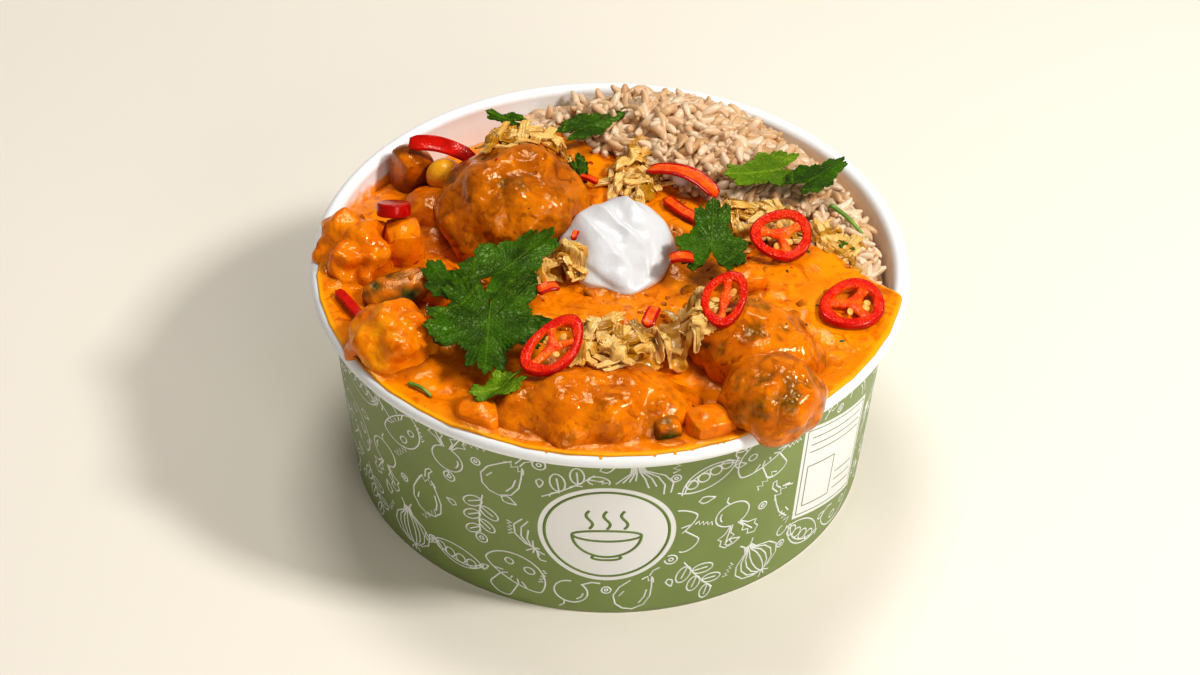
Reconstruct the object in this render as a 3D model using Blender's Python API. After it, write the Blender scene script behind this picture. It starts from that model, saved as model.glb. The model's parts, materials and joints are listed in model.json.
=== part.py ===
"""A round paper takeaway bowl of curry and brown rice, with its toppings.

Millimetres in the tables below, metres in the scene. The origin is the bottom
centre of the bowl, +Z is up, and the side that faces the eater is -Y.
"""
import math
import random

import bmesh
import bpy
from mathutils import Matrix, Vector, noise
from mathutils.bvhtree import BVHTree

MM = 0.001

# The bowl's measures.
RIM_RADIUS = 75.0
HEIGHT = 60.0
BEAD_RADIUS = 2.0
BASE_RADIUS = 66.2
WALL_TOP_RADIUS = 71.0
WALL = 0.7
FOOT_HEIGHT = 4.7
FOOT_THICKNESS = 1.6
FLOOR_BOTTOM = 5.0
FLOOR_THICKNESS = 0.8
BOWL_SEGMENTS = 48

# Clearances between neighbours.
GAP = 0.32
CARVE_GAP = 0.45
TOUCHING = 0.0008
LEAF_LIFT = 0.5

# Which way the long strip of pepper faces, tilted towards the front.
PEPPER_FACING = (0.0, -0.5, 0.87)

# The rice fills the part of the bowl past a straight line across it.
RICE_FACING = Vector((0.625, 0.78, 0.0)).normalized()
RICE_LINE = 34.0
RICE_SEGMENTS = 36
GRAIN_LENGTH = 7.0
GRAIN_WIDTH = 2.3
GRAIN_COUNT = 68
GRAIN_SPACING = 4.9

SAUCE_SEGMENTS = 48

# The seed of everything that is scattered.
SEED = 7


def clear_scene():
    """Remove every object, so that the script can run again."""
    for item in list(bpy.data.objects):
        bpy.data.objects.remove(item, do_unlink=True)


def material(name, colour, roughness):
    """Return the material called name, made on first use."""
    found = bpy.data.materials.get(name)
    if found:
        return found
    made = bpy.data.materials.new(name)
    made.use_nodes = True
    shader = made.node_tree.nodes["Principled BSDF"]
    shader.inputs["Base Color"].default_value = (*colour, 1.0)
    shader.inputs["Roughness"].default_value = roughness
    shader.inputs["Metallic"].default_value = 0.0
    return made


def paper():
    return material("white_paper", (0.86, 0.85, 0.83), 0.55)


def sauce_coat():
    return material("curry_sauce", (0.80, 0.24, 0.02), 0.22)


def kofta_coat():
    return material("sauced_kofta", (0.62, 0.21, 0.03), 0.3)


def vegetable_coat():
    return material("sauced_vegetable", (0.82, 0.33, 0.04), 0.28)


def pulp():
    return material("golden_onion", (0.62, 0.42, 0.16), 0.35)


def red_chilli():
    return material("red_chilli", (0.74, 0.02, 0.01), 0.2)


def leaf_green():
    return material("coriander_leaf", (0.05, 0.20, 0.02), 0.45)


def rice_brown():
    return material("brown_rice", (0.74, 0.60, 0.46), 0.5)


def add_object(name, mesh, look):
    """Put a mesh into the scene under its node's name."""
    made = bpy.data.objects.new(name, mesh)
    bpy.context.scene.collection.objects.link(made)
    made.data.materials.clear()
    made.data.materials.append(look)
    made.data.shade_smooth()
    made.data.set_sharp_from_angle(angle=math.radians(50))
    return made


def from_bmesh(name, shape, look):
    """Turn a bmesh in millimetres into an object in metres."""
    bmesh.ops.scale(shape, vec=(MM, MM, MM), verts=shape.verts)
    bmesh.ops.recalc_face_normals(shape, faces=shape.faces)
    mesh = bpy.data.meshes.new(name)
    shape.to_mesh(mesh)
    shape.free()
    return add_object(name, mesh, look)


def revolve(name, profile, segments, look):
    """Spin a closed (radius, height) profile about +Z."""
    shape = bmesh.new()
    points = [shape.verts.new((radius, 0.0, height)) for radius, height in profile]
    edges = [shape.edges.new((a, b)) for a, b in zip(points, points[1:])]
    if profile[0][0] > 0.0:
        edges.append(shape.edges.new((points[-1], points[0])))
    bmesh.ops.spin(
        shape, geom=points + edges, axis=(0, 0, 1), cent=(0, 0, 0),
        angle=2.0 * math.pi, steps=segments, use_merge=True, use_duplicate=False,
    )
    bmesh.ops.remove_doubles(shape, verts=shape.verts, dist=0.001)
    return from_bmesh(name, shape, look)


def grown(item, by):
    """Return a copy of an object, its surface moved outwards by so many mm."""
    shape = bmesh.new()
    shape.from_mesh(item.data)
    shape.normal_update()
    moves = [vertex.normal * by * MM for vertex in shape.verts]
    for vertex, move in zip(shape.verts, moves):
        vertex.co += move
    mesh = bpy.data.meshes.new(item.name + "_grown")
    shape.to_mesh(mesh)
    shape.free()
    made = bpy.data.objects.new(item.name + "_grown", mesh)
    bpy.context.scene.collection.objects.link(made)
    return made


def bounds(item):
    """Return the lowest and highest corner of an object's mesh, in metres."""
    points = [vertex.co for vertex in item.data.vertices]
    low = Vector([min(point[axis] for point in points) for axis in range(3)])
    high = Vector([max(point[axis] for point in points) for axis in range(3)])
    return low, high


def near(first, second, margin=1.0):
    """Tell whether two objects' boxes come within so many mm."""
    low_a, high_a = bounds(first)
    low_b, high_b = bounds(second)
    gap = margin * MM
    return all(low_a[k] - gap <= high_b[k] and low_b[k] - gap <= high_a[k] for k in range(3))


def is_closed(mesh):
    """Tell whether a mesh is one shut skin that doesn't touch itself."""
    shape = bmesh.new()
    shape.from_mesh(mesh)
    bmesh.ops.remove_doubles(shape, verts=shape.verts, dist=TOUCHING * MM)
    closed = len(shape.faces) > 3 and all(len(edge.link_faces) == 2 for edge in shape.edges)
    shape.free()
    return closed


def evaluated(item, modifier):
    """Return an object's mesh with one modifier applied, and take that modifier off."""
    graph = bpy.context.evaluated_depsgraph_get()
    mesh = bpy.data.meshes.new_from_object(item.evaluated_get(graph), depsgraph=graph)
    item.modifiers.remove(modifier)
    return mesh


def boolean(item, operation, other=None, collection=None):
    """Join or cut with an object or a collection, by the first solver that stays closed."""
    operands = list(collection.objects) if collection else [other]
    sound = all(is_closed(operand.data) for operand in [item] + operands)
    for solver in ("EXACT", "MANIFOLD") if sound else ("EXACT",):
        modifier = item.modifiers.new("shape", "BOOLEAN")
        modifier.operation = operation
        modifier.solver = solver
        if collection:
            modifier.operand_type = "COLLECTION"
            modifier.collection = collection
        else:
            modifier.object = other
        mesh = evaluated(item, modifier)
        tidy(mesh)
        if is_closed(mesh):
            break
    look = item.data.materials[0]
    item.data = mesh
    item.data.materials.clear()
    item.data.materials.append(look)


def tidy(mesh):
    """Merge slivers, keep the largest body and split the faces into triangles."""
    shape = bmesh.new()
    shape.from_mesh(mesh)
    bmesh.ops.remove_doubles(shape, verts=shape.verts, dist=0.03 * MM)
    bmesh.ops.dissolve_degenerate(shape, edges=shape.edges, dist=0.03 * MM)
    islands = find_islands(shape)
    keep = max(islands, key=island_size)
    scraps = [vert for island in islands if island is not keep for vert in island]
    bmesh.ops.delete(shape, geom=scraps, context="VERTS")
    bmesh.ops.triangulate(shape, faces=shape.faces)
    shape.to_mesh(mesh)
    shape.free()


def thin_out(item, angle=5.0):
    """Merge faces that lie nearly flat with each other, where the solid stays closed."""
    shape = bmesh.new()
    shape.from_mesh(item.data)
    bmesh.ops.dissolve_limit(
        shape, angle_limit=math.radians(angle), verts=shape.verts, edges=shape.edges,
        use_dissolve_boundaries=False,
    )
    bmesh.ops.triangulate(shape, faces=shape.faces)
    bmesh.ops.dissolve_degenerate(shape, edges=shape.edges, dist=0.03 * MM)
    bmesh.ops.triangulate(shape, faces=shape.faces)
    mesh = item.data.copy()
    shape.to_mesh(mesh)
    shape.free()
    if is_closed(mesh):
        item.data = mesh


def find_islands(shape):
    """Return the connected groups of a bmesh's vertices."""
    left = set(shape.verts)
    islands = []
    while left:
        stack = [left.pop()]
        island = []
        while stack:
            vertex = stack.pop()
            island.append(vertex)
            for edge in vertex.link_edges:
                other = edge.other_vert(vertex)
                if other in left:
                    left.remove(other)
                    stack.append(other)
        islands.append(island)
    return islands


def island_size(island):
    """Return the diagonal of a group of vertices."""
    low = Vector([min(vertex.co[axis] for vertex in island) for axis in range(3)])
    high = Vector([max(vertex.co[axis] for vertex in island) for axis in range(3)])
    return (high - low).length


def carve(item, below):
    """Cut an object clear of the neighbours that it rests on."""
    for other in below:
        if not near(item, other):
            continue
        cutter = grown(other, CARVE_GAP)
        boolean(item, "DIFFERENCE", other=cutter)
        bpy.data.objects.remove(cutter, do_unlink=True)


class Meal:
    """The pieces placed so far, and the height of what they cover."""

    def __init__(self):
        self.items = []
        self.trees = []
        self.ground = []

    def add(self, item, ground=True):
        """Record a placed piece; one that isn't ground is left out of the heights."""
        self.items.append(item)
        self.ground.append(ground)
        shape = bmesh.new()
        shape.from_mesh(item.data)
        self.trees.append(BVHTree.FromBMesh(shape))
        shape.free()
        return item

    def height(self, x, y):
        """Return the top surface's height in mm at a point in mm."""
        start = Vector((x, y, 200.0)) * MM
        below = [tree for tree, ground in zip(self.trees, self.ground) if ground]
        hits = [tree.ray_cast(start, Vector((0, 0, -1)))[0] for tree in below]
        return max([hit.z for hit in hits if hit] + [0.0]) / MM

    def highest(self, x, y, reach):
        """Return the greatest height within a small reach of a point."""
        around = [(0.0, 0.0)] + [
            (reach * math.cos(k * math.pi / 3), reach * math.sin(k * math.pi / 3)) for k in range(6)
        ]
        return max(self.height(x + dx, y + dy) for dx, dy in around)

    def clashes(self, item):
        """Tell whether an object's surface meets a placed one."""
        shape = bmesh.new()
        shape.from_mesh(item.data)
        tree = BVHTree.FromBMesh(shape)
        shape.free()
        return any(tree.overlap(other) for other in self.trees)

    def clearance(self, item):
        """Return how far, in mm, an object could drop before it meets what is below."""
        shape = bmesh.new()
        shape.from_mesh(item.data)
        tree = BVHTree.FromBMesh(shape)
        drops = []
        for vertex in shape.verts:
            start = Vector((vertex.co.x, vertex.co.y, 0.2))
            for other in self.trees:
                hit = other.ray_cast(start, Vector((0, 0, -1)))[0]
                if hit:
                    drops.append(vertex.co.z - hit.z)
        shape.free()
        low, high = bounds(item)
        for other in self.items:
            if near(item, other, 20.0):
                for vertex in other.data.vertices:
                    point = vertex.co
                    if low.x < point.x < high.x and low.y < point.y < high.y:
                        hit = tree.ray_cast(Vector((point.x, point.y, 0.0)), Vector((0, 0, 1)))[0]
                        if hit:
                            drops.append(hit.z - point.z)
        return min(drops) / MM

    def bed(self, item):
        """Cut an object to the ground that it lies on, and add it."""
        self.cut_to_ground(item)
        return self.add(item)

    def cut_to_ground(self, item, cell=2.8):
        """Cut an object to the ground that it lies on, sampled over its box."""
        low, high = bounds(item)
        low, high = low / MM - Vector((1, 1, 0)), high / MM + Vector((1, 1, 0))
        columns = math.ceil((high.x - low.x) / cell)
        rows = math.ceil((high.y - low.y) / cell)
        shape = bmesh.new()
        grid = []
        for column in range(columns + 1):
            for row in range(rows + 1):
                x = low.x + (high.x - low.x) * column / columns
                y = low.y + (high.y - low.y) * row / rows
                top = self.highest(x, y, cell * 0.6) + GAP
                grid.append(shape.verts.new((x, y, max(top, low.z - 1.0))))
        for column in range(columns):
            for row in range(rows):
                first = column * (rows + 1) + row
                corners = (first, first + rows + 1, first + rows + 2, first + 1)
                shape.faces.new([grid[corner] for corner in corners])
        sides = bmesh.ops.extrude_face_region(shape, geom=shape.faces[:], use_keep_orig=True)
        under = [piece for piece in sides["geom"] if isinstance(piece, bmesh.types.BMVert)]
        for vertex in under:
            vertex.co.z = low.z - 5.0
        bmesh.ops.triangulate(shape, faces=shape.faces)
        ground = from_bmesh("ground", shape, item.data.materials[0])
        boolean(item, "DIFFERENCE", other=ground)
        bpy.data.objects.remove(ground, do_unlink=True)
        thin_out(item)
        carve(item, [other for other, ground in zip(self.items, self.ground) if not ground])
        while self.clashes(item):
            item.data.transform(Matrix.Translation((0, 0, 0.1 * MM)))

    def rest(self, item, ground=True):
        """Lower or raise an object until it lies just clear of what is below."""
        move = Vector((0, 0, (GAP - self.clearance(item)) * MM))
        item.data.transform(Matrix.Translation(move))
        while self.clashes(item):
            item.data.transform(Matrix.Translation((0, 0, 0.1 * MM)))
        return self.add(item, ground)


# The bowl.


def wall_radius(height):
    """Return the outer radius of the wall at a height."""
    share = height / (HEIGHT - 2.0 * BEAD_RADIUS)
    return BASE_RADIUS + (WALL_TOP_RADIUS - BASE_RADIUS) * share


def bead_point(angle, radius):
    """Return a point about the rim's rolled bead, 0 degrees outwards and 90 up."""
    turn = math.radians(angle)
    centre = RIM_RADIUS - BEAD_RADIUS
    return centre + radius * math.cos(turn), HEIGHT - BEAD_RADIUS + radius * math.sin(turn)


def make_bowl():
    """Build the wall with its bead and folded foot, and the disc of its floor."""
    under_bead = HEIGHT - 2.0 * BEAD_RADIUS + 0.6
    foot_inner = wall_radius(0.0) - FOOT_THICKNESS
    profile = [(wall_radius(0.0), 0.0), (wall_radius(under_bead), under_bead)]
    profile += [bead_point(angle, BEAD_RADIUS) for angle in (-120, -60, 0, 45, 90, 135, 180)]
    inner_top = bead_point(200, BEAD_RADIUS)
    profile += [inner_top]
    profile += [(wall_radius(under_bead - 1.0) - WALL, under_bead - 1.0)]
    profile += [(wall_radius(FOOT_HEIGHT) - WALL, FOOT_HEIGHT)]
    profile += [(wall_radius(FOOT_HEIGHT) - FOOT_THICKNESS, FOOT_HEIGHT), (foot_inner, 0.0)]
    wall = revolve("bowl_wall", profile, BOWL_SEGMENTS, paper())
    edge = wall_radius(FLOOR_BOTTOM) - WALL - GAP
    top = FLOOR_BOTTOM + FLOOR_THICKNESS
    disc = [(0.0, FLOOR_BOTTOM), (edge, FLOOR_BOTTOM), (edge, top), (0.0, top)]
    floor = revolve("bowl_floor", disc, BOWL_SEGMENTS, paper())
    return wall, floor


# What fills the bowl.


def bump(x, y, centre, spread):
    """Return a smooth bump of height 1 about a centre."""
    far = ((x - centre[0]) / spread) ** 2 + ((y - centre[1]) / spread) ** 2
    return math.exp(-0.5 * far)


def ripple(x, y, size, seed):
    """Return smooth noise between about -1 and 1."""
    return noise.noise(Vector((x / size, y / size, seed)))


def climb(share):
    """Return a point on the way up the bowl's inside: the wall, then round the bead."""
    start, bead_start = HEIGHT - 13.0, HEIGHT - 2.0 * BEAD_RADIUS - 0.6
    if share < 0.5:
        height = start + (bead_start - start) * share / 0.5
        return wall_radius(height) - WALL - GAP, height
    return bead_point(200.0 - 134.0 * (share - 0.5) / 0.5, BEAD_RADIUS + GAP + 0.1)


def sauce_side(azimuth):
    """Return the sauce's side: brim-full at the front, lower at the back on the left."""
    turn = math.degrees(azimuth) % 360.0
    over_start, over_end, dip = 192.0, 352.0, 128.0
    away = min(abs(turn - over_start), abs(turn - over_end), abs(turn + 360.0 - over_end))
    rise = 1.0 - away / (over_start - dip)
    if over_start <= turn <= over_end:
        rise = 0.97 + 0.05 * ripple(turn, 0.0, 9.0, 3.0)
    return [climb(max(rise, 0.15) * step / 4) for step in range(5)]


def sauce_height(x, y):
    """Return the sauce's level away from the rim."""
    level = 58.4 + 1.0 * ripple(x, y, 11.0, 1.0) + 0.6 * ripple(x, y, 5.0, 2.0)
    level -= 8.5 * bump(x, y, (-43.0, 48.0), 14.0)
    level -= 3.0 * bump(x, y, (-42.0, 8.0), 11.0)
    level += 4.6 * bump(x, y, (51.0, -2.0), 7.0)
    level += 4.2 * bump(x, y, (36.0, -15.0), 9.0)
    level += 2.6 * bump(x, y, (2.0, -27.0), 12.0)
    level += 3.2 * bump(x, y, (57.0, -27.0), 10.0)
    level += 2.0 * bump(x, y, (14.0, 10.0), 12.0)
    return level


def fill(name, segments, side_at, height_at, look):
    """Build a filling: the bowl's inside up to an edge, with a free top surface."""
    floor = FLOOR_BOTTOM + FLOOR_THICKNESS + GAP
    rings = (0.965, 0.9, 0.78, 0.62, 0.45, 0.28, 0.12)
    shape = bmesh.new()
    columns = []
    for step in range(segments):
        azimuth = 2.0 * math.pi * step / segments
        out = Vector((math.cos(azimuth), math.sin(azimuth), 0.0))
        column = [(wall_radius(floor) - WALL - GAP, floor)] + side_at(azimuth)
        edge_radius, edge_height = column[-1]
        for ring in rings:
            radius = edge_radius * ring
            inner = height_at(out.x * radius, out.y * radius)
            blend = min(1.0, (1.0 - ring) / 0.16) ** 0.6
            column.append((radius, edge_height + (inner - edge_height) * blend + 0.5))
        columns.append([shape.verts.new((out.x * r, out.y * r, z)) for r, z in column])
    base = shape.verts.new((0.0, 0.0, floor))
    crown = shape.verts.new((0.0, 0.0, height_at(0.0, 0.0) + 0.5))
    for first, second in zip(columns, columns[1:] + columns[:1]):
        shape.faces.new((base, second[0], first[0]))
        shape.faces.new((crown, first[-1], second[-1]))
        for low in range(len(first) - 1):
            shape.faces.new((first[low], second[low], second[low + 1], first[low + 1]))
    bmesh.ops.triangulate(shape, faces=shape.faces)
    return from_bmesh(name, shape, look)


def half_cutter(side, line):
    """Return a block that covers the bowl past a line, on the side of a direction."""
    shape = bmesh.new()
    bmesh.ops.create_cube(shape, size=1.0)
    bmesh.ops.scale(shape, vec=(200.0, 300.0, 200.0), verts=shape.verts)
    turn = Matrix.Rotation(math.atan2(side.y, side.x), 4, "Z")
    bmesh.ops.transform(shape, matrix=turn, verts=shape.verts)
    bmesh.ops.translate(shape, vec=side * (line + 100.0) + Vector((0, 0, 50.0)), verts=shape.verts)
    return from_bmesh("half_cutter", shape, paper())


def make_sauce():
    """Build the curry's sauce, up to the brim at the front and short of the rice."""
    item = fill("sauce", SAUCE_SEGMENTS, sauce_side, sauce_height, sauce_coat())
    cutter = half_cutter(RICE_FACING, RICE_LINE - 0.5 * GAP)
    boolean(item, "DIFFERENCE", other=cutter)
    bpy.data.objects.remove(cutter, do_unlink=True)
    return item


def rice_side(azimuth):
    """Return the rice's side: lower on the right than at the back."""
    height = 51.5 + 5.0 * max(0.0, math.sin(azimuth))
    return [(wall_radius(height) - WALL - GAP, height)]


def rice_height(x, y):
    """Return the height of the rice heap, which rises from the line where it meets the curry."""
    past = min(1.0, max(0.0, (x * RICE_FACING.x + y * RICE_FACING.y - RICE_LINE) / 12.0))
    heap = 8.5 * bump(x, y, (14.0, 54.0), 16.0) + 5.0 * bump(x, y, (38.0, 36.0), 15.0)
    level = 58.0 + heap * (0.15 + 0.85 * past) - 8.0 * bump(x, y, (-26.0, 64.0), 9.0)
    return level + 0.8 * ripple(x, y, 6.0, 5.0)


def grain(place, heading, tilt, length, width):
    """Return one grain of rice, a spindle of four sides, as an object."""
    shape = bmesh.new()
    bmesh.ops.create_uvsphere(shape, u_segments=4, v_segments=4, radius=1.0)
    turn = Matrix.Rotation(math.pi / 2, 4, "Y")
    bmesh.ops.transform(shape, matrix=turn, verts=shape.verts)
    size = Matrix.Diagonal((0.5 * length, 0.5 * width * 1.15, 0.5 * width * 0.9, 1.0))
    lean = Matrix.Rotation(heading, 4, "Z") @ Matrix.Rotation(tilt, 4, "Y")
    bmesh.ops.transform(shape, matrix=Matrix.Translation(place) @ lean @ size, verts=shape.verts)
    return from_bmesh("grain", shape, rice_brown())


def make_rice(rng):
    """Build the heap of rice: a core with grains fused over it."""
    item = fill("rice", RICE_SEGMENTS, rice_side, rice_height, rice_brown())
    cutter = half_cutter(-RICE_FACING, -(RICE_LINE + 0.5 * GAP))
    boolean(item, "DIFFERENCE", other=cutter)
    bpy.data.objects.remove(cutter, do_unlink=True)
    core = Meal()
    core.add(item)
    grains = bpy.data.collections.new("grains")
    bpy.context.scene.collection.children.link(grains)
    places = []
    for _ in range(6000):
        if len(places) == GRAIN_COUNT:
            break
        place = Vector((rng.uniform(-50.0, 68.0), rng.uniform(-25.0, 68.0), 0.0))
        heading = rng.uniform(0.0, math.pi)
        reach = Vector((math.cos(heading), math.sin(heading), 0.0)) * 0.5 * GRAIN_LENGTH
        ends = (place + reach, place - reach)
        if min(end.dot(RICE_FACING) for end in ends) < RICE_LINE + 1.6:
            continue
        if max(end.length for end in ends) > wall_radius(50.0) - WALL - 1.8:
            continue
        if any((place - other).length < GRAIN_SPACING for other in places):
            continue
        places.append(place)
        spot = Vector((place.x, place.y, core.height(place.x, place.y) + 0.25))
        tilt = rng.uniform(-0.4, 0.4)
        made = grain(spot, heading, tilt, GRAIN_LENGTH * rng.uniform(0.85, 1.1), GRAIN_WIDTH)
        bpy.context.scene.collection.objects.unlink(made)
        grains.objects.link(made)
    boolean(item, "UNION", collection=grains)
    for made in list(grains.objects):
        bpy.data.objects.remove(made, do_unlink=True)
    bpy.data.collections.remove(grains)
    return item


# The pieces of food.


def lump(name, centre, radii, look, turn=(0, 0, 0), rough=0.12, size=9.0, seed=0.0, detail=3, box=0.0):
    """Build an uneven rounded piece; box squares its sides off, from 0 to 1."""
    shape = bmesh.new()
    bmesh.ops.create_icosphere(shape, subdivisions=detail, radius=1.0)
    for vertex in shape.verts:
        unit = vertex.co.copy()
        square = unit / max(abs(unit.x), abs(unit.y), abs(unit.z))
        vertex.co = unit.lerp(square * 0.86, box)
        spot = Vector((unit.x * radii[0], unit.y * radii[1], unit.z * radii[2])) / size
        vertex.co *= 1.0 + rough * noise.noise(spot + Vector((seed, 0.0, 0.0)))
    angles = [math.radians(angle) for angle in turn]
    turned = Matrix.Rotation(angles[2], 4, "Z") @ Matrix.Rotation(angles[1], 4, "Y")
    turned = turned @ Matrix.Rotation(angles[0], 4, "X")
    place = Matrix.Translation(centre) @ turned @ Matrix.Diagonal((*radii, 1.0))
    bmesh.ops.transform(shape, matrix=place, verts=shape.verts)
    return from_bmesh(name, shape, look)


def place_pieces(meal):
    """Set the koftas and the vegetables into the sauce, each clear of those before it."""
    kofta, vegetable = kofta_coat(), vegetable_coat()
    skin = material("green_skin", (0.12, 0.22, 0.03), 0.35)
    wedge = material("browned_wedge", (0.50, 0.18, 0.03), 0.35)
    chickpea = material("chickpea", (0.82, 0.48, 0.12), 0.3)
    squash = material("squash", (0.85, 0.30, 0.02), 0.25)
    pieces = [
        lump("kofta_back", (-24.5, 15.5, 60.0), (19.5, 18.5, 18.2), kofta, rough=0.14, size=8.0, seed=1.0),
        lump("kofta_front", (-3.5, -57.5, 58.0), (25.0, 13.5, 11.5), kofta, (0, 0, 2), 0.16, 8.0, 2.0),
        lump("kofta_end", (38.5, -57.5, 64.0), (12.6, 11.6, 9.8), kofta, rough=0.14, size=6.0, seed=3.0),
        lump("kofta_right", (35.0, -38.0, 62.5), (16.5, 13.0, 10.5), kofta, (0, 8, -25), 0.16, 8.0, 4.0),
        lump("cauliflower_left", (-63.5, -0.5, 60.0), (9.5, 11.5, 9.5), vegetable,
             rough=0.35, size=5.0, seed=5.0),
        lump("cauliflower_front", (-52.5, -36.0, 61.0), (11.2, 10.8, 10.4), vegetable,
             rough=0.2, size=6.0, seed=6.0),
        lump("potato_cube", (-51.8, 1.5, 61.0), (5.6, 6.0, 8.0), vegetable,
             (0, 0, 10), 0.06, seed=7.0, detail=2, box=0.4),
        lump("vegetable_left", (-44.0, -11.5, 59.5), (7.5, 8.0, 6.0), vegetable,
             rough=0.15, seed=8.0, detail=2),
        lump("aubergine_wedge", (-52.0, 36.0, 55.0), (5.6, 6.0, 11.0), wedge,
             (0, 6, 30), 0.12, seed=9.0, detail=2, box=0.4),
        lump("chickpea", (-43.0, 31.0, 60.6), (4.8, 4.6, 4.6), chickpea, rough=0.04, seed=10.0, detail=2),
        lump("vegetable_back", (-46.0, 21.0, 54.5), (8.0, 9.5, 7.5), vegetable,
             (0, 0, 20), 0.12, seed=11.0, detail=2),
        lump("courgette_slice", (-52.0, -17.0, 62.0), (9.6, 5.4, 2.3), skin,
             (18, -8, 22), 0.05, seed=12.0, detail=2, box=0.25),
        lump("squash_cube_front", (24.0, -63.0, 59.5), (6.6, 5.4, 5.4), squash,
             (0, 0, 25), 0.06, seed=13.0, detail=2, box=0.5),
        lump("squash_cube_left", (-30.5, -60.5, 59.0), (6.4, 5.2, 4.8), squash,
             (0, 0, -20), 0.08, seed=14.0, detail=2, box=0.4),
        lump("squash_cube_centre", (33.5, -14.0, 64.5), (5.4, 4.4, 3.6), squash,
             (0, 0, 10), 0.08, seed=15.0, detail=2, box=0.4),
        lump("squash_drop", (-20.5, -13.0, 62.0), (4.6, 3.8, 3.8), squash, rough=0.06, seed=16.0, detail=2),
        lump("aubergine_skin", (13.8, -65.5, 60.5), (3.8, 3.4, 4.2), skin,
             (0, 0, 15), 0.1, seed=17.0, detail=2, box=0.3),
    ]
    for piece in pieces:
        carve(piece, meal.items)
        thin_out(piece)
        meal.add(piece)


def make_yoghurt(meal):
    """Build the spoonful of yoghurt, higher at the back, and the splash beside it."""
    look = material("yoghurt", (0.90, 0.88, 0.86), 0.25)
    shape = bmesh.new()
    bmesh.ops.create_icosphere(shape, subdivisions=3, radius=1.0)
    for vertex in shape.verts:
        unit = vertex.co.copy()
        fold = 0.10 * math.sin(5.0 * unit.x + 2.0 * unit.y) * max(0.0, unit.y + 0.2)
        swell = 1.0 + 0.16 * noise.noise(unit * 1.6 + Vector((2.0, 1.0, 0.0)))
        lift = (0.55 * unit.y + fold) * max(0.0, unit.z)
        narrow = 1.0 - 0.22 * max(0.0, -unit.y)
        x, y = 14.2 * unit.x * swell * narrow, 16.0 * unit.y * swell
        vertex.co = (2.2 + x, -0.5 + y, 61.5 + 8.6 * (unit.z * swell + lift))
    item = from_bmesh("yoghurt", shape, look)
    meal.bed(item)
    splash = lump("yoghurt_splash", (18.3, 29.0, 62.5), (2.6, 1.8, 2.4), look, detail=2, seed=18.0)
    carve(splash, meal.items)
    meal.add(splash)


# The onion, the chilli and the coriander.


def strip_shape(shape, path, width, thickness, side):
    """Sweep a flat section along a path of points, closed at both ends."""
    rows = []
    for index, point in enumerate(path):
        ahead = path[min(index + 1, len(path) - 1)] - path[max(index - 1, 0)]
        across = ahead.cross(side).normalized() * 0.5 * width
        lift = across.cross(ahead).normalized() * 0.5 * thickness
        taper = 0.7 if index in (0, len(path) - 1) else 1.0
        corners = (across + lift, lift - across, -across - lift, across - lift)
        rows.append([shape.verts.new(point + corner * taper) for corner in corners])
    for first, second in zip(rows, rows[1:]):
        for k in range(4):
            shape.faces.new((first[k], first[(k + 1) % 4], second[(k + 1) % 4], second[k]))
    shape.faces.new(rows[0][::-1])
    shape.faces.new(rows[-1])


def strip(name, path, width, thickness, look, side=(0, 0, 1)):
    """Build one strip as an object."""
    shape = bmesh.new()
    strip_shape(shape, [Vector(point) for point in path], width, thickness, Vector(side))
    return from_bmesh(name, shape, look)


def arc_path(start, end, rise, steps=6):
    """Return points from start to end, arched upwards in the middle."""
    start, end = Vector(start), Vector(end)
    path = []
    for step in range(steps + 1):
        share = step / steps
        path.append(start.lerp(end, share) + Vector((0, 0, rise * math.sin(math.pi * share))))
    return path


def shreds(name, meal, centre, spread, count, rng, heading=None, lift=2.6):
    """Build a tangle of soft onion shreds: a low core with strips fused across it."""
    for _ in range(8):
        item = tangle(name, meal, centre, spread, count, rng, heading, lift)
        meal.cut_to_ground(item)
        if is_closed(item.data):
            break
        bpy.data.objects.remove(item, do_unlink=True)
    return meal.add(item)


def tangle(name, meal, centre, spread, count, rng, heading, lift):
    """Fuse strips over a core, each strip following the ground below it."""
    x, y = centre
    level = meal.height(x, y)
    radii = (spread[0] * 0.48, spread[1] * 0.48, lift)
    item = lump(name, (x, y, level + 0.4), radii, pulp(), rough=0.25, size=4.0, seed=x, detail=2)
    strands = bpy.data.collections.new("strands")
    bpy.context.scene.collection.children.link(strands)
    for index in range(count):
        angle = 2.0 * math.pi * (index + rng.uniform(-0.3, 0.3)) / count
        middle = Vector((x + spread[0] * 0.34 * math.cos(angle), y + spread[1] * 0.34 * math.sin(angle), 0))
        turn = rng.uniform(0.0, math.pi) if heading is None else heading + rng.uniform(-0.5, 0.5)
        reach = Vector((math.cos(turn), math.sin(turn), 0.0)) * rng.uniform(3.2, 5.2)
        arch = rng.uniform(0.4, 1.0) * lift
        path = []
        for step in range(4):
            spot = middle + reach * (step - 1.5) / 1.5
            spot.z = meal.highest(spot.x, spot.y, 1.5) + 0.8 + arch * math.sin(math.pi * (step + 0.4) / 3.8)
            path.append(spot)
        made = strip("strand", path, rng.uniform(2.4, 3.8), 1.5, pulp())
        bpy.context.scene.collection.objects.unlink(made)
        strands.objects.link(made)
    boolean(item, "UNION", collection=strands)
    thin_out(item, 9.0)
    for made in list(strands.objects):
        bpy.data.objects.remove(made, do_unlink=True)
    bpy.data.collections.remove(strands)
    return item


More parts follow.
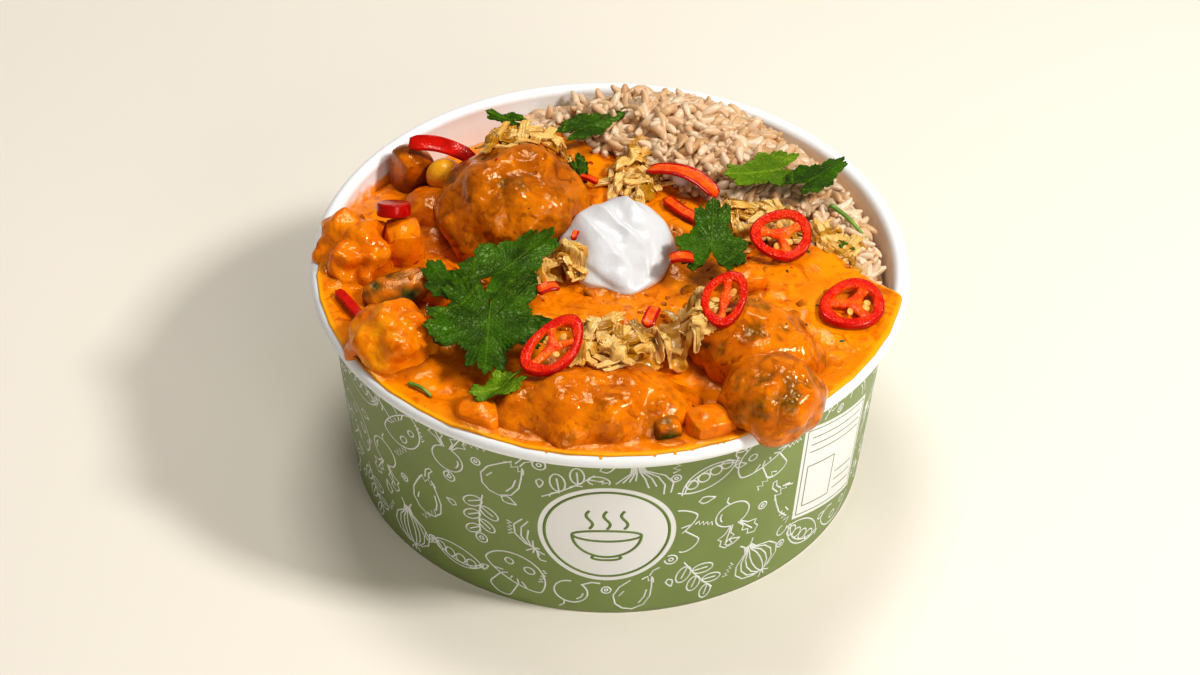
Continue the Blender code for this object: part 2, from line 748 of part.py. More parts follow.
def chilli_ring(name, meal, centre, size, facing, spokes, turn, thickness=1.8):
    """Build a slice of chilli: a skin ring whose ribs meet in a small core."""
    sectors = 16
    radii = (0.16, 0.74, 1.0)
    ribs = {round(sectors * (turn / 360.0 + k / spokes)) % sectors for k in range(spokes)}
    shape = bmesh.new()
    hub = shape.verts.new((0, 0, 0))
    rings = []
    for radius in radii:
        ring = []
        for step in range(sectors):
            angle = 2.0 * math.pi * step / sectors
            wobble = 1.0 + 0.05 * math.sin(3.0 * angle + turn) * radius
            ring.append(shape.verts.new((
                0.5 * size[0] * radius * wobble * math.cos(angle),
                0.5 * size[1] * radius * wobble * math.sin(angle), 0.0)))
        rings.append(ring)
    for step in range(sectors):
        after = (step + 1) % sectors
        shape.faces.new((hub, rings[0][step], rings[0][after]))
        shape.faces.new((rings[1][step], rings[2][step], rings[2][after], rings[1][after]))
        if step in ribs:
            shape.faces.new((rings[0][step], rings[1][step], rings[1][after], rings[0][after]))
    body = bmesh.ops.extrude_face_region(shape, geom=shape.faces[:], use_keep_orig=True)
    top = [piece for piece in body["geom"] if isinstance(piece, bmesh.types.BMVert)]
    bmesh.ops.translate(shape, vec=(0, 0, thickness), verts=top)
    aim = Vector(facing).normalized().to_track_quat("Z", "Y").to_matrix().to_4x4()
    bmesh.ops.transform(shape, matrix=Matrix.Translation(centre) @ aim, verts=shape.verts)
    return meal.rest(from_bmesh(name, shape, red_chilli()), ground=False)


def leaf_reach(angle, lobes, depth):
    """Return a leaf's reach from its middle: lobed, toothed, notched at the stalk."""
    lobe = 1.0 - depth * (0.5 - 0.5 * math.cos(lobes * angle))
    teeth = 1.0 - 0.06 * (0.5 - 0.5 * math.cos(4.0 * lobes * angle))
    notch = 1.0 - 0.45 * math.exp(-((abs(angle) - math.pi) / 0.28) ** 2)
    return lobe * teeth * notch


def leaf(name, meal, base, tip, width, lobes=5, depth=0.25, points=24, roll=0.0, wave=0.8):
    """Build a leaf as a thin wavy solid that lies over what is below it."""
    base, tip = Vector(base), Vector(tip)
    along = tip - base
    flat = Vector((along.y, -along.x, 0.0)).normalized()
    across = flat * math.cos(math.radians(roll)) + Vector((0, 0, math.sin(math.radians(roll))))
    middle = base.lerp(tip, 0.5)
    spots = [middle]
    for ring in (0.55, 1.0):
        for step in range(points):
            angle = 2.0 * math.pi * step / points
            reach = 0.5 * ring * leaf_reach(angle if angle <= math.pi else angle - 2 * math.pi, lobes, depth)
            spot = middle + along * reach * math.cos(angle) + across * width * reach * math.sin(angle)
            spot.z += wave * ring * math.sin(lobes * angle + 1.0)
            spots.append(spot)
    for spot in spots:
        spot.z = max(spot.z, meal.highest(spot.x, spot.y, 2.0) + LEAF_LIFT)
    shape = bmesh.new()
    under = [shape.verts.new(spot) for spot in spots]
    over = [shape.verts.new(spot + Vector((0, 0, 0.45))) for spot in spots]
    for step in range(points):
        after = (step + 1) % points
        a, b = 1 + step, 1 + after
        c, d = a + points, b + points
        for sheet, order in ((over, 1), (under, -1)):
            for corners in ((0, a, b), (a, c, b), (b, c, d)):
                shape.faces.new([sheet[corner] for corner in corners][::order])
        shape.faces.new((under[c], under[d], over[d]))
        shape.faces.new((under[c], over[d], over[c]))
    return meal.rest(from_bmesh(name, shape, leaf_green()))


def place_toppings(meal, rng):
    """Lay the onion, the chilli and the coriander over the meal."""
    deep = material("red_pepper", (0.62, 0.03, 0.01), 0.25)
    pepper = strip("pepper_strip_back", arc_path((-52.5, 35.8, 66.0), (-35.5, 33.8, 62.5), 2.0), 4.4, 1.8, deep,
                   PEPPER_FACING)
    meal.rest(pepper)
    side = strip("pepper_strip_left", arc_path((-67.0, -16.5, 61.0), (-60.0, -27.5, 61.5), 0.4), 2.6, 1.4, deep)
    meal.rest(side)
    shreds("onion_centre", meal, (-14.0, -5.5), (12.0, 15.0), 6, rng, lift=4.0)
    place_front_leaves(meal)
    chilli_ring("chilli_ring_right", meal, (42.7, 0.5, 67.0), (15.6, 14.0), (0.0, -0.42, 0.9), 3, 30)
    chilli_ring("chilli_ring_centre", meal, (27.5, -34.5, 72.0), (10.8, 15.0), (-0.15, -0.40, 0.9), 2, 80)
    chilli_ring("chilli_ring_edge", meal, (59.3, -21.5, 64.0), (18.5, 15.0), (0.1, -0.08, 1.0), 3, 0)
    chilli_ring("chilli_ring_left", meal, (-13.2, -48.0, 70.0), (12.5, 19.5), (-0.15, -0.20, 0.97), 3, 15)
    shreds("onion_back", meal, (-21.5, 29.0), (20.0, 11.0), 6, rng, 0.3, 3.4)
    shreds("onion_rice", meal, (6.0, 31.0), (12.0, 20.0), 5, rng, 1.4)
    shreds("onion_right", meal, (37.0, 12.0), (20.0, 15.0), 6, rng, lift=3.6)
    shreds("onion_edge", meal, (55.0, 3.0), (13.0, 14.0), 4, rng)
    shreds("onion_front", meal, (1.0, -40.0), (25.0, 21.0), 8, rng, 1.4, 4.4)
    shreds("onion_middle", meal, (17.0, -35.0), (14.0, 22.0), 6, rng, lift=4.0)
    place_back_leaves(meal)
    place_small_chilli(meal)


def place_small_chilli(meal):
    """Lay the curved slices and the small bits of chilli."""
    look = red_chilli()
    pieces = (
        ("chilli_slice_back", (9.5, 30.5, 68.0), (27.0, 20.0, 67.5), 1.5, 5.0),
        ("chilli_slice_front", (14.0, 22.0, 67.0), (25.5, 11.0, 67.5), 1.0, 3.6),
        ("chilli_bit_middle", (14.5, -12.5, 66.0), (20.5, -12.0, 66.0), 0.6, 4.0),
        ("chilli_bit_front", (9.0, -36.5, 70.0), (11.0, -29.5, 70.0), 0.5, 3.4),
        ("chilli_bit_rice", (-8.0, 30.0, 68.0), (-3.5, 27.5, 68.0), 0.3, 2.0),
        ("chilli_bit_yoghurt", (-9.2, -3.8, 68.0), (-8.4, -0.6, 68.0), 0.3, 1.6),
        ("chilli_bit_left", (-17.5, -26.5, 66.0), (-12.5, -24.5, 66.0), 0.5, 3.4),
    )
    for name, start, end, rise, width in pieces:
        meal.rest(strip(name, arc_path(start, end, rise, 4), width, 1.3, look))
    band = bmesh.new()
    bmesh.ops.create_cone(band, cap_ends=True, segments=16, radius1=4.3, radius2=4.3, depth=3.4)
    tip = Matrix.Translation((-54.3, 6.0, 76.0)) @ Matrix.Rotation(math.radians(-28), 4, "X")
    bmesh.ops.transform(band, matrix=tip, verts=band.verts)
    meal.rest(from_bmesh("chilli_slice_left", band, look))


def place_front_leaves(meal):
    """Lay the large coriander leaves at the front and the one in the centre."""
    leaf("leaf_upper", meal, (-36.0, -26.0, 68.0), (-14.0, -3.0, 72.0), 22.0, lobes=3, depth=0.2, points=20)
    leaf("leaf_dark", meal, (-36.0, -27.5, 68.0), (-45.0, -12.0, 67.0), 12.0, lobes=3, points=14)
    leaf("leaf_big", meal, (-28.5, -16.5, 70.0), (-29.5, -52.5, 64.5), 33.0, lobes=5, depth=0.2)
    leaf("leaf_small", meal, (-18.5, -54.0, 65.0), (-33.0, -58.0, 64.0), 10.0, lobes=3, points=14)
    leaf("leaf_centre", meal, (24.5, -18.5, 66.0), (25.5, 7.5, 72.0), 20.0, lobes=3, depth=0.35, points=20)


def place_back_leaves(meal):
    """Lay the coriander at the back and on the right, the stalks and the small bits."""
    leaf("leaf_back", meal, (-15.0, 42.0, 71.0), (4.0, 56.0, 71.0), 11.0, lobes=3, points=16)
    leaf("leaf_back_left", meal, (-21.0, 33.0, 77.0), (-32.5, 38.0, 77.0), 6.0, lobes=3, points=12)
    leaf("leaf_back_low", meal, (-10.5, 38.0, 71.0), (-7.0, 28.5, 67.0), 6.5, lobes=3, points=12)
    leaf("leaf_right", meal, (52.0, 30.5, 67.0), (28.5, 22.5, 68.5), 16.5, lobes=3, points=16)
    leaf("leaf_right_outer", meal, (44.5, 15.0, 68.0), (60.0, 33.0, 66.0), 12.0, lobes=3, points=16)
    leaf("leaf_bit_right", meal, (57.0, 3.5, 64.0), (61.5, 2.0, 63.0), 3.0, lobes=2, points=10, wave=0.2)
    green = material("coriander_stalk", (0.22, 0.36, 0.04), 0.4)
    stalk = strip("stalk_right", arc_path((56.0, 18.5, 67.0), (66.0, 9.5, 61.0), 0.8), 1.2, 1.2, green)
    meal.rest(stalk)
    meal.rest(strip("stalk_front", arc_path((-47.5, -49.5, 62.0), (-42.0, -54.0, 62.0), 0.2, 3), 1.3, 1.1, green))


def main():
    """Build the bowl, what fills it, the pieces and the toppings, in that order."""
    clear_scene()
    rng = random.Random(SEED)
    meal = Meal()
    for item in make_bowl():
        meal.add(item)
    meal.add(make_sauce())
    meal.add(make_rice(rng))
    place_pieces(meal)
    make_yoghurt(meal)
    place_toppings(meal, rng)


main()
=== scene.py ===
"""The looks of a round paper takeaway bowl of curry with brown rice.

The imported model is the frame: each class here builds the finer form of some of
its nodes in the same place and dresses it. Lengths in the tables are in
millimetres, and the scene is in metres.
"""
from __future__ import annotations

import json
import logging
import math
import random
from dataclasses import dataclass
from enum import Enum
from functools import lru_cache
from typing import Callable, Optional, Sequence, Union

import bpy
import numpy as np
from mathutils import Matrix, Vector, noise
from mathutils.bvhtree import BVHTree

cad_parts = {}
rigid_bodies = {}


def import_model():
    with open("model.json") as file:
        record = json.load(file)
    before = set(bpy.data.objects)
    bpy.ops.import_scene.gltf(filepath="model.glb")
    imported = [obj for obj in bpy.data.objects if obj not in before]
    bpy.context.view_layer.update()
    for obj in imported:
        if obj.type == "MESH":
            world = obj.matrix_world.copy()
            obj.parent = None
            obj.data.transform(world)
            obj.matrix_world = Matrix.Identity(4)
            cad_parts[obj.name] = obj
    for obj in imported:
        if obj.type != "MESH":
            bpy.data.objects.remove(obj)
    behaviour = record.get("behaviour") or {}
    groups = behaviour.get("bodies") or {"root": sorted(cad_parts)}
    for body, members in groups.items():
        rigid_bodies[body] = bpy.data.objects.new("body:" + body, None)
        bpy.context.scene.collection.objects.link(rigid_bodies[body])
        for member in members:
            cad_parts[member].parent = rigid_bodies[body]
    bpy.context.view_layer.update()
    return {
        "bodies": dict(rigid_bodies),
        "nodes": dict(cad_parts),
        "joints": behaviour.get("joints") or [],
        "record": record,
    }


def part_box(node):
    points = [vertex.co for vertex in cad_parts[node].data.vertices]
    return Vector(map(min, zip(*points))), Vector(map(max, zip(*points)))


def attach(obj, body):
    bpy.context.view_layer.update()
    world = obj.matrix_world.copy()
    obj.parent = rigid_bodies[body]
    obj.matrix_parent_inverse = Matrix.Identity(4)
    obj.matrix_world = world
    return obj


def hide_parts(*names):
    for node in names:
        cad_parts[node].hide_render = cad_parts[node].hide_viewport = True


LOG = logging.getLogger("curry_bowl")
MM = 0.001
BODY = "root"
ABOVE = 200.0
DOWN = Vector((0.0, 0.0, -1.0))
ALL_SMOOTH = 180.0
CREASE = 50.0
FINE_WELD = 1e-6
SURFACE_WELD = 2e-6

Piece = bpy.types.Object
Socket = bpy.types.NodeSocket
Colour = tuple[float, float, float]
Point = tuple[float, float, float]
Spot = tuple[float, float]
Line = list[Spot]
Faces = list[tuple[int, ...]]
Floats = Union[float, np.ndarray]

# The frame, filled in by main.
FRAME: dict = {}


# Working with objects.


def pick(piece: Piece) -> None:
    """Make one object the only selected one, and the active one.

    Args:
        piece: The object to work on.
    """
    bpy.ops.object.select_all(action="DESELECT")
    piece.select_set(True)
    bpy.context.view_layer.objects.active = piece


def new_primitive(name: str, operator: Callable[..., set], **settings: object) -> Piece:
    """Add a primitive with nothing else selected.

    Args:
        name: The new object's name.
        operator: The operator that adds the primitive.
        settings: The operator's own settings.

    Returns:
        The new object.
    """
    bpy.ops.object.select_all(action="DESELECT")
    operator(**settings)
    made = bpy.context.active_object
    made.name = made.data.name = name
    return made


def use_modifier(piece: Piece, kind: str, **settings: object) -> None:
    """Add one modifier to a piece and apply it.

    Args:
        piece: The piece to change.
        kind: The modifier's type.
        settings: The modifier's own settings.
    """
    pick(piece)
    modifier = piece.modifiers.new(kind.lower(), kind)
    for name, value in settings.items():
        setattr(modifier, name, value)
    bpy.ops.object.modifier_apply(modifier=modifier.name)


def linked(name: str, data: bpy.types.ID) -> Piece:
    """Return a new object in the scene, made of some data."""
    made = bpy.data.objects.new(name, data)
    bpy.context.scene.collection.objects.link(made)
    return made


def new_ball(name: str, detail: int) -> Piece:
    """Add a ball of radius 1, its faces divided to a detail."""
    return new_primitive(name, bpy.ops.mesh.primitive_ico_sphere_add, subdivisions=detail, radius=1.0)


def new_mesh(name: str, points: np.ndarray, faces: Faces) -> Piece:
    """Add a piece from its points and faces.

    Args:
        name: The piece's name.
        points: Rows of x, y and z, in millimetres.
        faces: The numbers of each face's points.

    Returns:
        The piece.
    """
    mesh = bpy.data.meshes.new(name)
    mesh.from_pydata((points * MM).tolist(), [], faces)
    return linked(name, mesh)


def taken_apart(piece: Piece) -> tuple[np.ndarray, Faces]:
    """Remove a piece that is only a pattern for others.

    Args:
        piece: The pattern.

    Returns:
        Its points and its faces.
    """
    points, faces = points_of(piece), [tuple(face.vertices) for face in piece.data.polygons]
    bpy.data.objects.remove(piece, do_unlink=True)
    return points, faces


def weld(piece: Piece, reach: float) -> None:
    """Merge the points of a piece that touch, and turn its faces outwards.

    Args:
        piece: The piece to change.
        reach: How close the points lie, in metres.
    """
    pick(piece)
    bpy.ops.object.mode_set(mode="EDIT")
    bpy.ops.mesh.select_all(action="SELECT")
    bpy.ops.mesh.remove_doubles(threshold=reach)
    bpy.ops.mesh.normals_make_consistent(inside=False)
    bpy.ops.object.mode_set(mode="OBJECT")


def copied(name: str, node: str) -> Piece:
    """Return a merged copy of a node's mesh as a new object."""
    made = linked(name, FRAME["nodes"][node].data.copy())
    weld(made, FINE_WELD)
    return made


def vertex_rows(piece: Piece, name: str) -> np.ndarray:
    """Read a vector from each of a piece's vertices.

    Args:
        piece: The piece to read.
        name: What Blender calls the vector.

    Returns:
        Rows of x, y and z.
    """
    rows = np.zeros(len(piece.data.vertices) * 3)
    piece.data.vertices.foreach_get(name, rows)
    return rows.reshape(-1, 3)


def points_of(piece: Piece) -> np.ndarray:
    """Return a piece's vertices as rows of x, y and z, in metres."""
    return vertex_rows(piece, "co")


def normals_of(piece: Piece) -> np.ndarray:
    """Return a piece's vertex normals as rows."""
    return vertex_rows(piece, "normal")


def put_points(piece: Piece, points: np.ndarray) -> None:
    """Move a piece's vertices to new places.

    Args:
        piece: The piece to change.
        points: One row of x, y and z for each vertex, in metres.
    """
    piece.data.vertices.foreach_set("co", np.asarray(points, float).ravel())
    piece.data.update()


def paint(piece: Piece, name: str, values: np.ndarray) -> None:
    """Store one number for each vertex, for the piece's finish to read.

    Args:
        piece: The piece to mark.
        name: The attribute's name.
        values: One number for each vertex.
    """
    attribute = piece.data.attributes.new(name, "FLOAT", "POINT")
    attribute.data.foreach_set("value", np.asarray(values, np.float32))


def ripple(points: np.ndarray, size: float, seed: float = 0.0) -> np.ndarray:
    """Return smooth noise between about -1 and 1 at each point.

    Args:
        points: Rows of x, y and z, in millimetres.
        size: How large the noise's features are, in millimetres.
        seed: Which part of the noise to read.

    Returns:
        One value for each point.
    """
    rows = (points / size + np.array([seed, 0.0, 0.0])).tolist()
    return np.array([noise.noise(row) for row in rows])


def tossed(points: np.ndarray, size: float, seeds: Point) -> np.ndarray:
    """Return smooth noise along x, y and z at each point, its features of a size in millimetres."""
    return np.stack([ripple(points, size, seed) for seed in seeds], 1)


def smooth_step(values: np.ndarray, low: float, high: float) -> np.ndarray:
    """Return 0 below low, 1 above high and a smooth rise between them."""
    share = np.clip((values - low) / (high - low), 0.0, 1.0)
    return share * share * (3.0 - 2.0 * share)


def toned(colour: Colour, share: float) -> Colour:
    """Return a colour with each of its parts made a share of what it is."""
    return tuple(share * part for part in colour)


def turned_by(x: float = 0.0, y: float = 0.0, z: float = 0.0) -> np.ndarray:
    """Return the matrix of a turn about X, then Y, then Z, by angles in radians."""
    return np.array(Matrix.Rotation(z, 3, "Z") @ Matrix.Rotation(y, 3, "Y") @ Matrix.Rotation(x, 3, "X"))


def box_of(node: str) -> tuple[np.ndarray, np.ndarray]:
    """Return the lowest and the highest corner of a node's box, in millimetres."""
    low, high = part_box(node)
    return np.array(low) / MM, np.array(high) / MM


def tree_of(*pieces: Piece) -> BVHTree:
    """Make one search tree over the faces of some pieces.

    Args:
        pieces: The pieces to search.

    Returns:
        The tree, in metres.
    """
    points: list[Vector] = []
    faces: Faces = []
    for piece in pieces:
        start = len(points)
        points += [vertex.co.copy() for vertex in piece.data.vertices]
        faces += [tuple(start + corner for corner in face.vertices) for face in piece.data.polygons]
    return BVHTree.FromPolygons(points, faces)


def landing(tree: BVHTree, x: float, y: float) -> tuple[Optional[Vector], Optional[Vector]]:
    """Return where a thing that falls at x and y lands, and the normal there, or None twice."""
    return tree.ray_cast(Vector((x, y, ABOVE)) * MM, DOWN)[:2]


def level_at(tree: BVHTree, x: float, y: float, near: float) -> float:
    """Return a surface's height at a place, or the height of its nearest point.

    Args:
        tree: A search tree over the surface.
        x: The place's x.
        y: The place's y.
        near: The height that the nearest point is sought from, where nothing lies below the place.

    Returns:
        The height, in millimetres like the rest.
    """
    hit = landing(tree, x, y)[0]
    if hit is None:
        hit = tree.find_nearest(Vector((x, y, near)) * MM)[0]
    return hit.z / MM


def joined(name: str, pieces: Sequence[Piece]) -> Piece:
    """Join several objects into the first of them.

    Args:
        name: The joined object's name.
        pieces: The objects to join.

    Returns:
        The joined object.
    """
    pick(pieces[0])
    for piece in pieces[1:]:
        piece.select_set(True)
    if len(pieces) > 1:
        bpy.ops.object.join()
    pieces[0].name = pieces[0].data.name = name
    return pieces[0]


def seat(
    piece: Piece, finish: Finish, nodes: Sequence[str] = (), angle: float = ALL_SMOOTH
) -> Piece:
    """Dress a finished piece, make it ride on the bowl and hide the nodes that it stands for.

    Args:
        piece: The finished piece, its object at the origin.
        finish: The finish of the whole piece.
        nodes: The nodes that the piece replaces.
        angle: Edges sharper than this many degrees stay sharp.

    Returns:
        The same piece.
    """
    piece.data.materials.clear()
    piece.data.materials.append(dress(finish))
    return fasten(piece, nodes, angle)


def fasten(piece: Piece, nodes: Sequence[str] = (), angle: float = ALL_SMOOTH) -> Piece:
    """Shade a dressed piece smooth, make it ride on the bowl and hide the nodes that it stands for.

    Args:
        piece: The piece, with its materials on it.
        nodes: The nodes that the piece replaces.
        angle: Edges sharper than this many degrees stay sharp.

    Returns:
        The same piece.
    """
    pick(piece)
    if angle >= ALL_SMOOTH:
        bpy.ops.object.shade_smooth()
    else:
        bpy.ops.object.shade_smooth_by_angle(angle=math.radians(angle))
    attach(piece, BODY)
    if nodes:
        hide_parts(*nodes)
    stands_for = ", ".join(nodes) or "nothing"
    LOG.info("%s: %d faces, stands for %s", piece.name, len(piece.data.polygons), stands_for)
    return piece


# Writing shaders.


class Value:
    """A number in a shader that is worked with by the usual operators."""

    def __init__(self, shading: Shading, socket: Socket) -> None:
        """Wrap one output socket of a shader."""
        self.shading = shading
        self.socket = socket

    def maths(self, operation: str, first: Number, second: Number) -> Value:
        """Return the result of one Math node."""
        made = self.shading.node("ShaderNodeMath", {"operation": operation}, {0: first, 1: second})
        return Value(self.shading, made.outputs[0])

    def __add__(self, other: Number) -> Value:
        """Add."""
        return self.maths("ADD", self, other)

    def __radd__(self, other: Number) -> Value:
        """Add to a number."""
        return self.maths("ADD", other, self)

    def __sub__(self, other: Number) -> Value:
        """Subtract."""
        return self.maths("SUBTRACT", self, other)

    def __rsub__(self, other: Number) -> Value:
        """Subtract from a number."""
        return self.maths("SUBTRACT", other, self)

    def __mul__(self, other: Number) -> Value:
        """Multiply."""
        return self.maths("MULTIPLY", self, other)

    def __rmul__(self, other: Number) -> Value:
        """Multiply a number."""
        return self.maths("MULTIPLY", other, self)

    def __truediv__(self, other: Number) -> Value:
        """Divide."""
        return self.maths("DIVIDE", self, other)

    def rise(self, low: float, high: float) -> Value:
        """Return a smooth rise from 0 at low to 1 at high.

        Args:
            low: Where the rise starts.
            high: Where it ends.

        Returns:
            The rise.
        """
        made = self.shading.node(
            "ShaderNodeMapRange",
            {"interpolation_type": "SMOOTHSTEP"},
            {"Value": self, "From Min": low, "From Max": high},
        )
        return Value(self.shading, made.outputs["Result"])

    def size(self) -> Value:
        """Return the number without its sign."""
        return self.maths("ABSOLUTE", self, 0.0)


Number = Union[Value, float]
Input = Union[Value, Socket, float, Sequence[float]]


class Shading:
    """One material's nodes, made and linked as they are needed."""

    def __init__(self, name: str) -> None:
        """Start a material around its Principled shader."""
        self.material = bpy.data.materials.new(name)
        self.material.use_nodes = True
        self.tree = self.material.node_tree
        self.surface = self.tree.nodes["Principled BSDF"]
        self.place = self.node("ShaderNodeTexCoord").outputs["Object"]

    def node(
        self, kind: str, settings: Optional[dict[str, object]] = None, inputs: Optional[dict] = None
    ) -> bpy.types.Node:
        """Add one node.

        Args:
            kind: The node's type.
            settings: Its settings, which are set first.
            inputs: Values or links for its sockets, by name or number.

        Returns:
            The new node.
        """
        made = self.tree.nodes.new(kind)
        for name, value in (settings or {}).items():
            setattr(made, name, value)
        for key, value in (inputs or {}).items():
            self.feed(made.inputs[key], value)
        return made

    def feed(self, socket: Socket, value: Input) -> None:
        """Link a value to a socket, or set it there where it is a plain number or colour.

        Args:
            socket: The socket.
            value: What goes in.
        """
        if isinstance(value, Value):
            value = value.socket
        if isinstance(value, Socket):
            self.tree.links.new(value, socket)
        elif isinstance(value, tuple) and len(value) == 3 and socket.type == "RGBA":
            socket.default_value = (*value, 1.0)
        else:
            socket.default_value = value

    def cloud(self, size: float, detail: float = 2.0, rough: float = 0.5, twist: float = 0.0) -> Value:
        """Return soft noise from 0 to 1.

        Args:
            size: The size of its features, in millimetres.
            detail: How many finer layers it has.
            rough: How strong the finer layers are.
            twist: How far the noise is pulled about.

        Returns:
            The noise.
        """
        inputs = {"Vector": self.place, "Scale": 1000.0 / size, "Detail": detail, "Roughness": rough,
                  "Distortion": twist}
        return Value(self, self.node("ShaderNodeTexNoise", {}, inputs).outputs["Fac"])

    def cells(self, size: float, feature: str = "F1") -> Value:
        """Return the distance to the nearest of many scattered points, in cells of a size in millimetres."""
        inputs = {"Vector": self.place, "Scale": 1000.0 / size, "Randomness": 1.0}
        made = self.node("ShaderNodeTexVoronoi", {"feature": feature}, inputs)
        return Value(self, made.outputs["Distance"])

    def stored(self, name: str) -> Value:
        """Return a number that is stored on the piece's vertices."""
        made = self.node("ShaderNodeAttribute", {"attribute_name": name})
        return Value(self, made.outputs["Fac"])

    def axes(self) -> tuple[Value, Value, Value]:
        """Return x, y and z on the piece, in metres."""
        split = self.node("ShaderNodeSeparateXYZ", {}, {"Vector": self.place})
        return tuple(Value(self, split.outputs[axis]) for axis in range(3))

    def mix(self, share: Number, first: Input, second: Input) -> Socket:
        """Return a colour between two, by a share from 0 to 1."""
        return self.node("ShaderNodeMix", {"data_type": "RGBA"}, {0: share, 6: first, 7: second}).outputs[2]

    def relief(self, height: Value, depth: float, under: Optional[Socket] = None) -> Socket:
        """Return a bumped normal.

        Args:
            height: The relief from 0 to 1.
            depth: How deep it is, in millimetres.
            under: A normal that is bumped already.

        Returns:
            The normal.
        """
        inputs: dict[str, Input] = {"Strength": 1.0, "Distance": depth * MM, "Height": height}
        if under is not None:
            inputs["Normal"] = under
        return self.node("ShaderNodeBump", {}, inputs).outputs["Normal"]

    def wear(self, **sockets: Input) -> bpy.types.Material:
        """Set the shader's own sockets and return the material.

        Args:
            sockets: Values by socket name, with underscores for spaces.

        Returns:
            The finished material.
        """
        for name, value in sockets.items():
            self.feed(self.surface.inputs[name.replace("_", " ")], value)
        return self.material


class Finish:
    """A finish that makes one material."""

    def make(self) -> bpy.types.Material:
        """Return the material."""
        raise NotImplementedError


@lru_cache(maxsize=None)
def dress(finish: Finish) -> bpy.types.Material:
    """Return the material of a finish, made on first use."""
    return finish.make()


@dataclass(frozen=True)
class PaperFinish(Finish):
    """White coated board, with fibres that show faintly, and inside the bowl a smear of curry and painted
    shade.
    """

    name: str = "coated_paper"
    white: Colour = (0.85, 0.85, 0.84)
    # stained: whether the inside gets the smear of curry and the painted shade above the rice
    stained: bool = False
    tan: Colour = (0.74, 0.50, 0.27)
    orange: Colour = (0.90, 0.34, 0.03)

    def make(self) -> bpy.types.Material:
        """Return the material.

        Returns:
            The finished material.
        """
        shading = Shading(self.name)
        fibre = shading.cloud(0.35, 4.0, 0.7)
        cloudy = shading.cloud(14.0, 3.0)
        colour = shading.mix(cloudy.rise(0.3, 0.7) * 0.35, self.white, toned(self.white, 0.955))
        if self.stained:
            colour = self.smear_and_painted_shade(shading, colour)
        return shading.wear(
            Base_Color=colour,
            Roughness=0.42 + 0.16 * fibre,
            Normal=shading.relief(fibre, 0.03, shading.relief(cloudy, 0.12)),
            Specular_IOR_Level=0.45,
        )

    def smear_and_painted_shade(self, shading: Shading, colour: Socket) -> Socket:
        """Return the paper's colour with painted shade in tan on the inner wall above the rice, and the smear
        of sauce on the left.

        Args:
            shading: The material that they are written into.
            colour: The paper's own colour.

        Returns:
            The stained colour.
        """
        x, y, z = shading.axes()
        streak = shading.cloud(3.0, 3.0, 0.6)
        angle = y.maths("ARCTAN2", y, x) * (180.0 / math.pi)
        inside = 1.0 - (x * x + y * y).rise((71.6 * MM) ** 2, (72.6 * MM) ** 2)
        # painted shade: the inner wall above the rice turns tan, over a band of angles and below the rim
        painted_wall_shade = (1.0 - (angle - 17.0).size().rise(22.0, 40.0)) * (1.0 - (z / MM).rise(56.0, 58.2))
        colour = shading.mix(painted_wall_shade * inside * (0.45 + 0.4 * streak), colour, self.tan)
        edge = (z / MM) + 5.0 * streak - 0.14 * (angle - 148.0).size()
        smear = (1.0 - edge.rise(56.6, 58.6)) * (1.0 - (angle - 152.0).size().rise(13.0, 21.0))
        return shading.mix(smear * inside * (0.55 + 0.6 * streak.rise(0.35, 0.6)), colour, self.orange)


@dataclass(frozen=True)
class PrintLayout:
    """Where the print leaves off: a round field, and a label whose top slopes. Angles are in degrees."""

    radius: float = 68.6
    field_angle: float = -90.0
    field_height: float = 29.4
    field_reach: float = 16.8
    label_angle: float = -35.5
    label_spread: float = 12.0
    label_height: float = 28.4
    label_reach: float = 16.0
    slope: float = -0.33

    def along(self, angle: float) -> float:
        """Return how far round the wall an angle reaches, in millimetres."""
        return math.radians(angle) * self.radius

    @property
    def label_middle(self) -> float:
        """Return how far round the wall from the front the label's middle lies."""
        return self.along(self.label_angle - self.field_angle)

    @property
    def label_half(self) -> float:
        """Return half the label's width round the wall."""
        return self.along(self.label_spread)


@dataclass(frozen=True)
class PrintFinish(Finish):
    """Matt green ink over the bowl's wall, left off at a round field and at a blank label."""

    name: str = "green_print"
    green: Colour = (0.185, 0.245, 0.062)
    paper: Colour = (0.83, 0.82, 0.79)
    layout: PrintLayout = PrintLayout()
    field_blur: float = 0.12
    label_blur: float = 0.1

    def make(self) -> bpy.types.Material:
        """Return the material.

        Returns:
            The finished material.
        """
        shading, layout = Shading(self.name), self.layout
        x, y, z = shading.axes()
        along = y.maths("ARCTAN2", y, x) * layout.radius
        height = z / MM
        side = along - layout.along(layout.field_angle)
        rise = height - layout.field_height
        near, far = (layout.field_reach + blur for blur in (-self.field_blur, self.field_blur))
        disc = 1.0 - (side * side + rise * rise).rise(near ** 2, far ** 2)
        across = along - layout.along(layout.label_angle)
        up = (height - layout.label_height - across * layout.slope).size()
        half, reach, blur = layout.label_half, layout.label_reach, self.label_blur
        panel = 1.0 - across.size().rise(half - blur, half + blur)
        panel = panel * (1.0 - up.rise(reach - blur, reach + blur))
        fibre = shading.cloud(0.4, 4.0, 0.7)
        cloudy = shading.cloud(18.0, 2.0)
        ink = shading.mix(cloudy.rise(0.3, 0.7), self.green, toned(self.green, 1.1))
        ink = shading.mix(fibre.rise(0.55, 0.8) * 0.25, ink, toned(self.green, 0.8))
        bare = disc + panel
        return shading.wear(
            Base_Color=shading.mix(bare, ink, self.paper),
            Roughness=0.34 + 0.12 * fibre,
            Normal=shading.relief(fibre, 0.02),
            Specular_IOR_Level=0.6,
        )


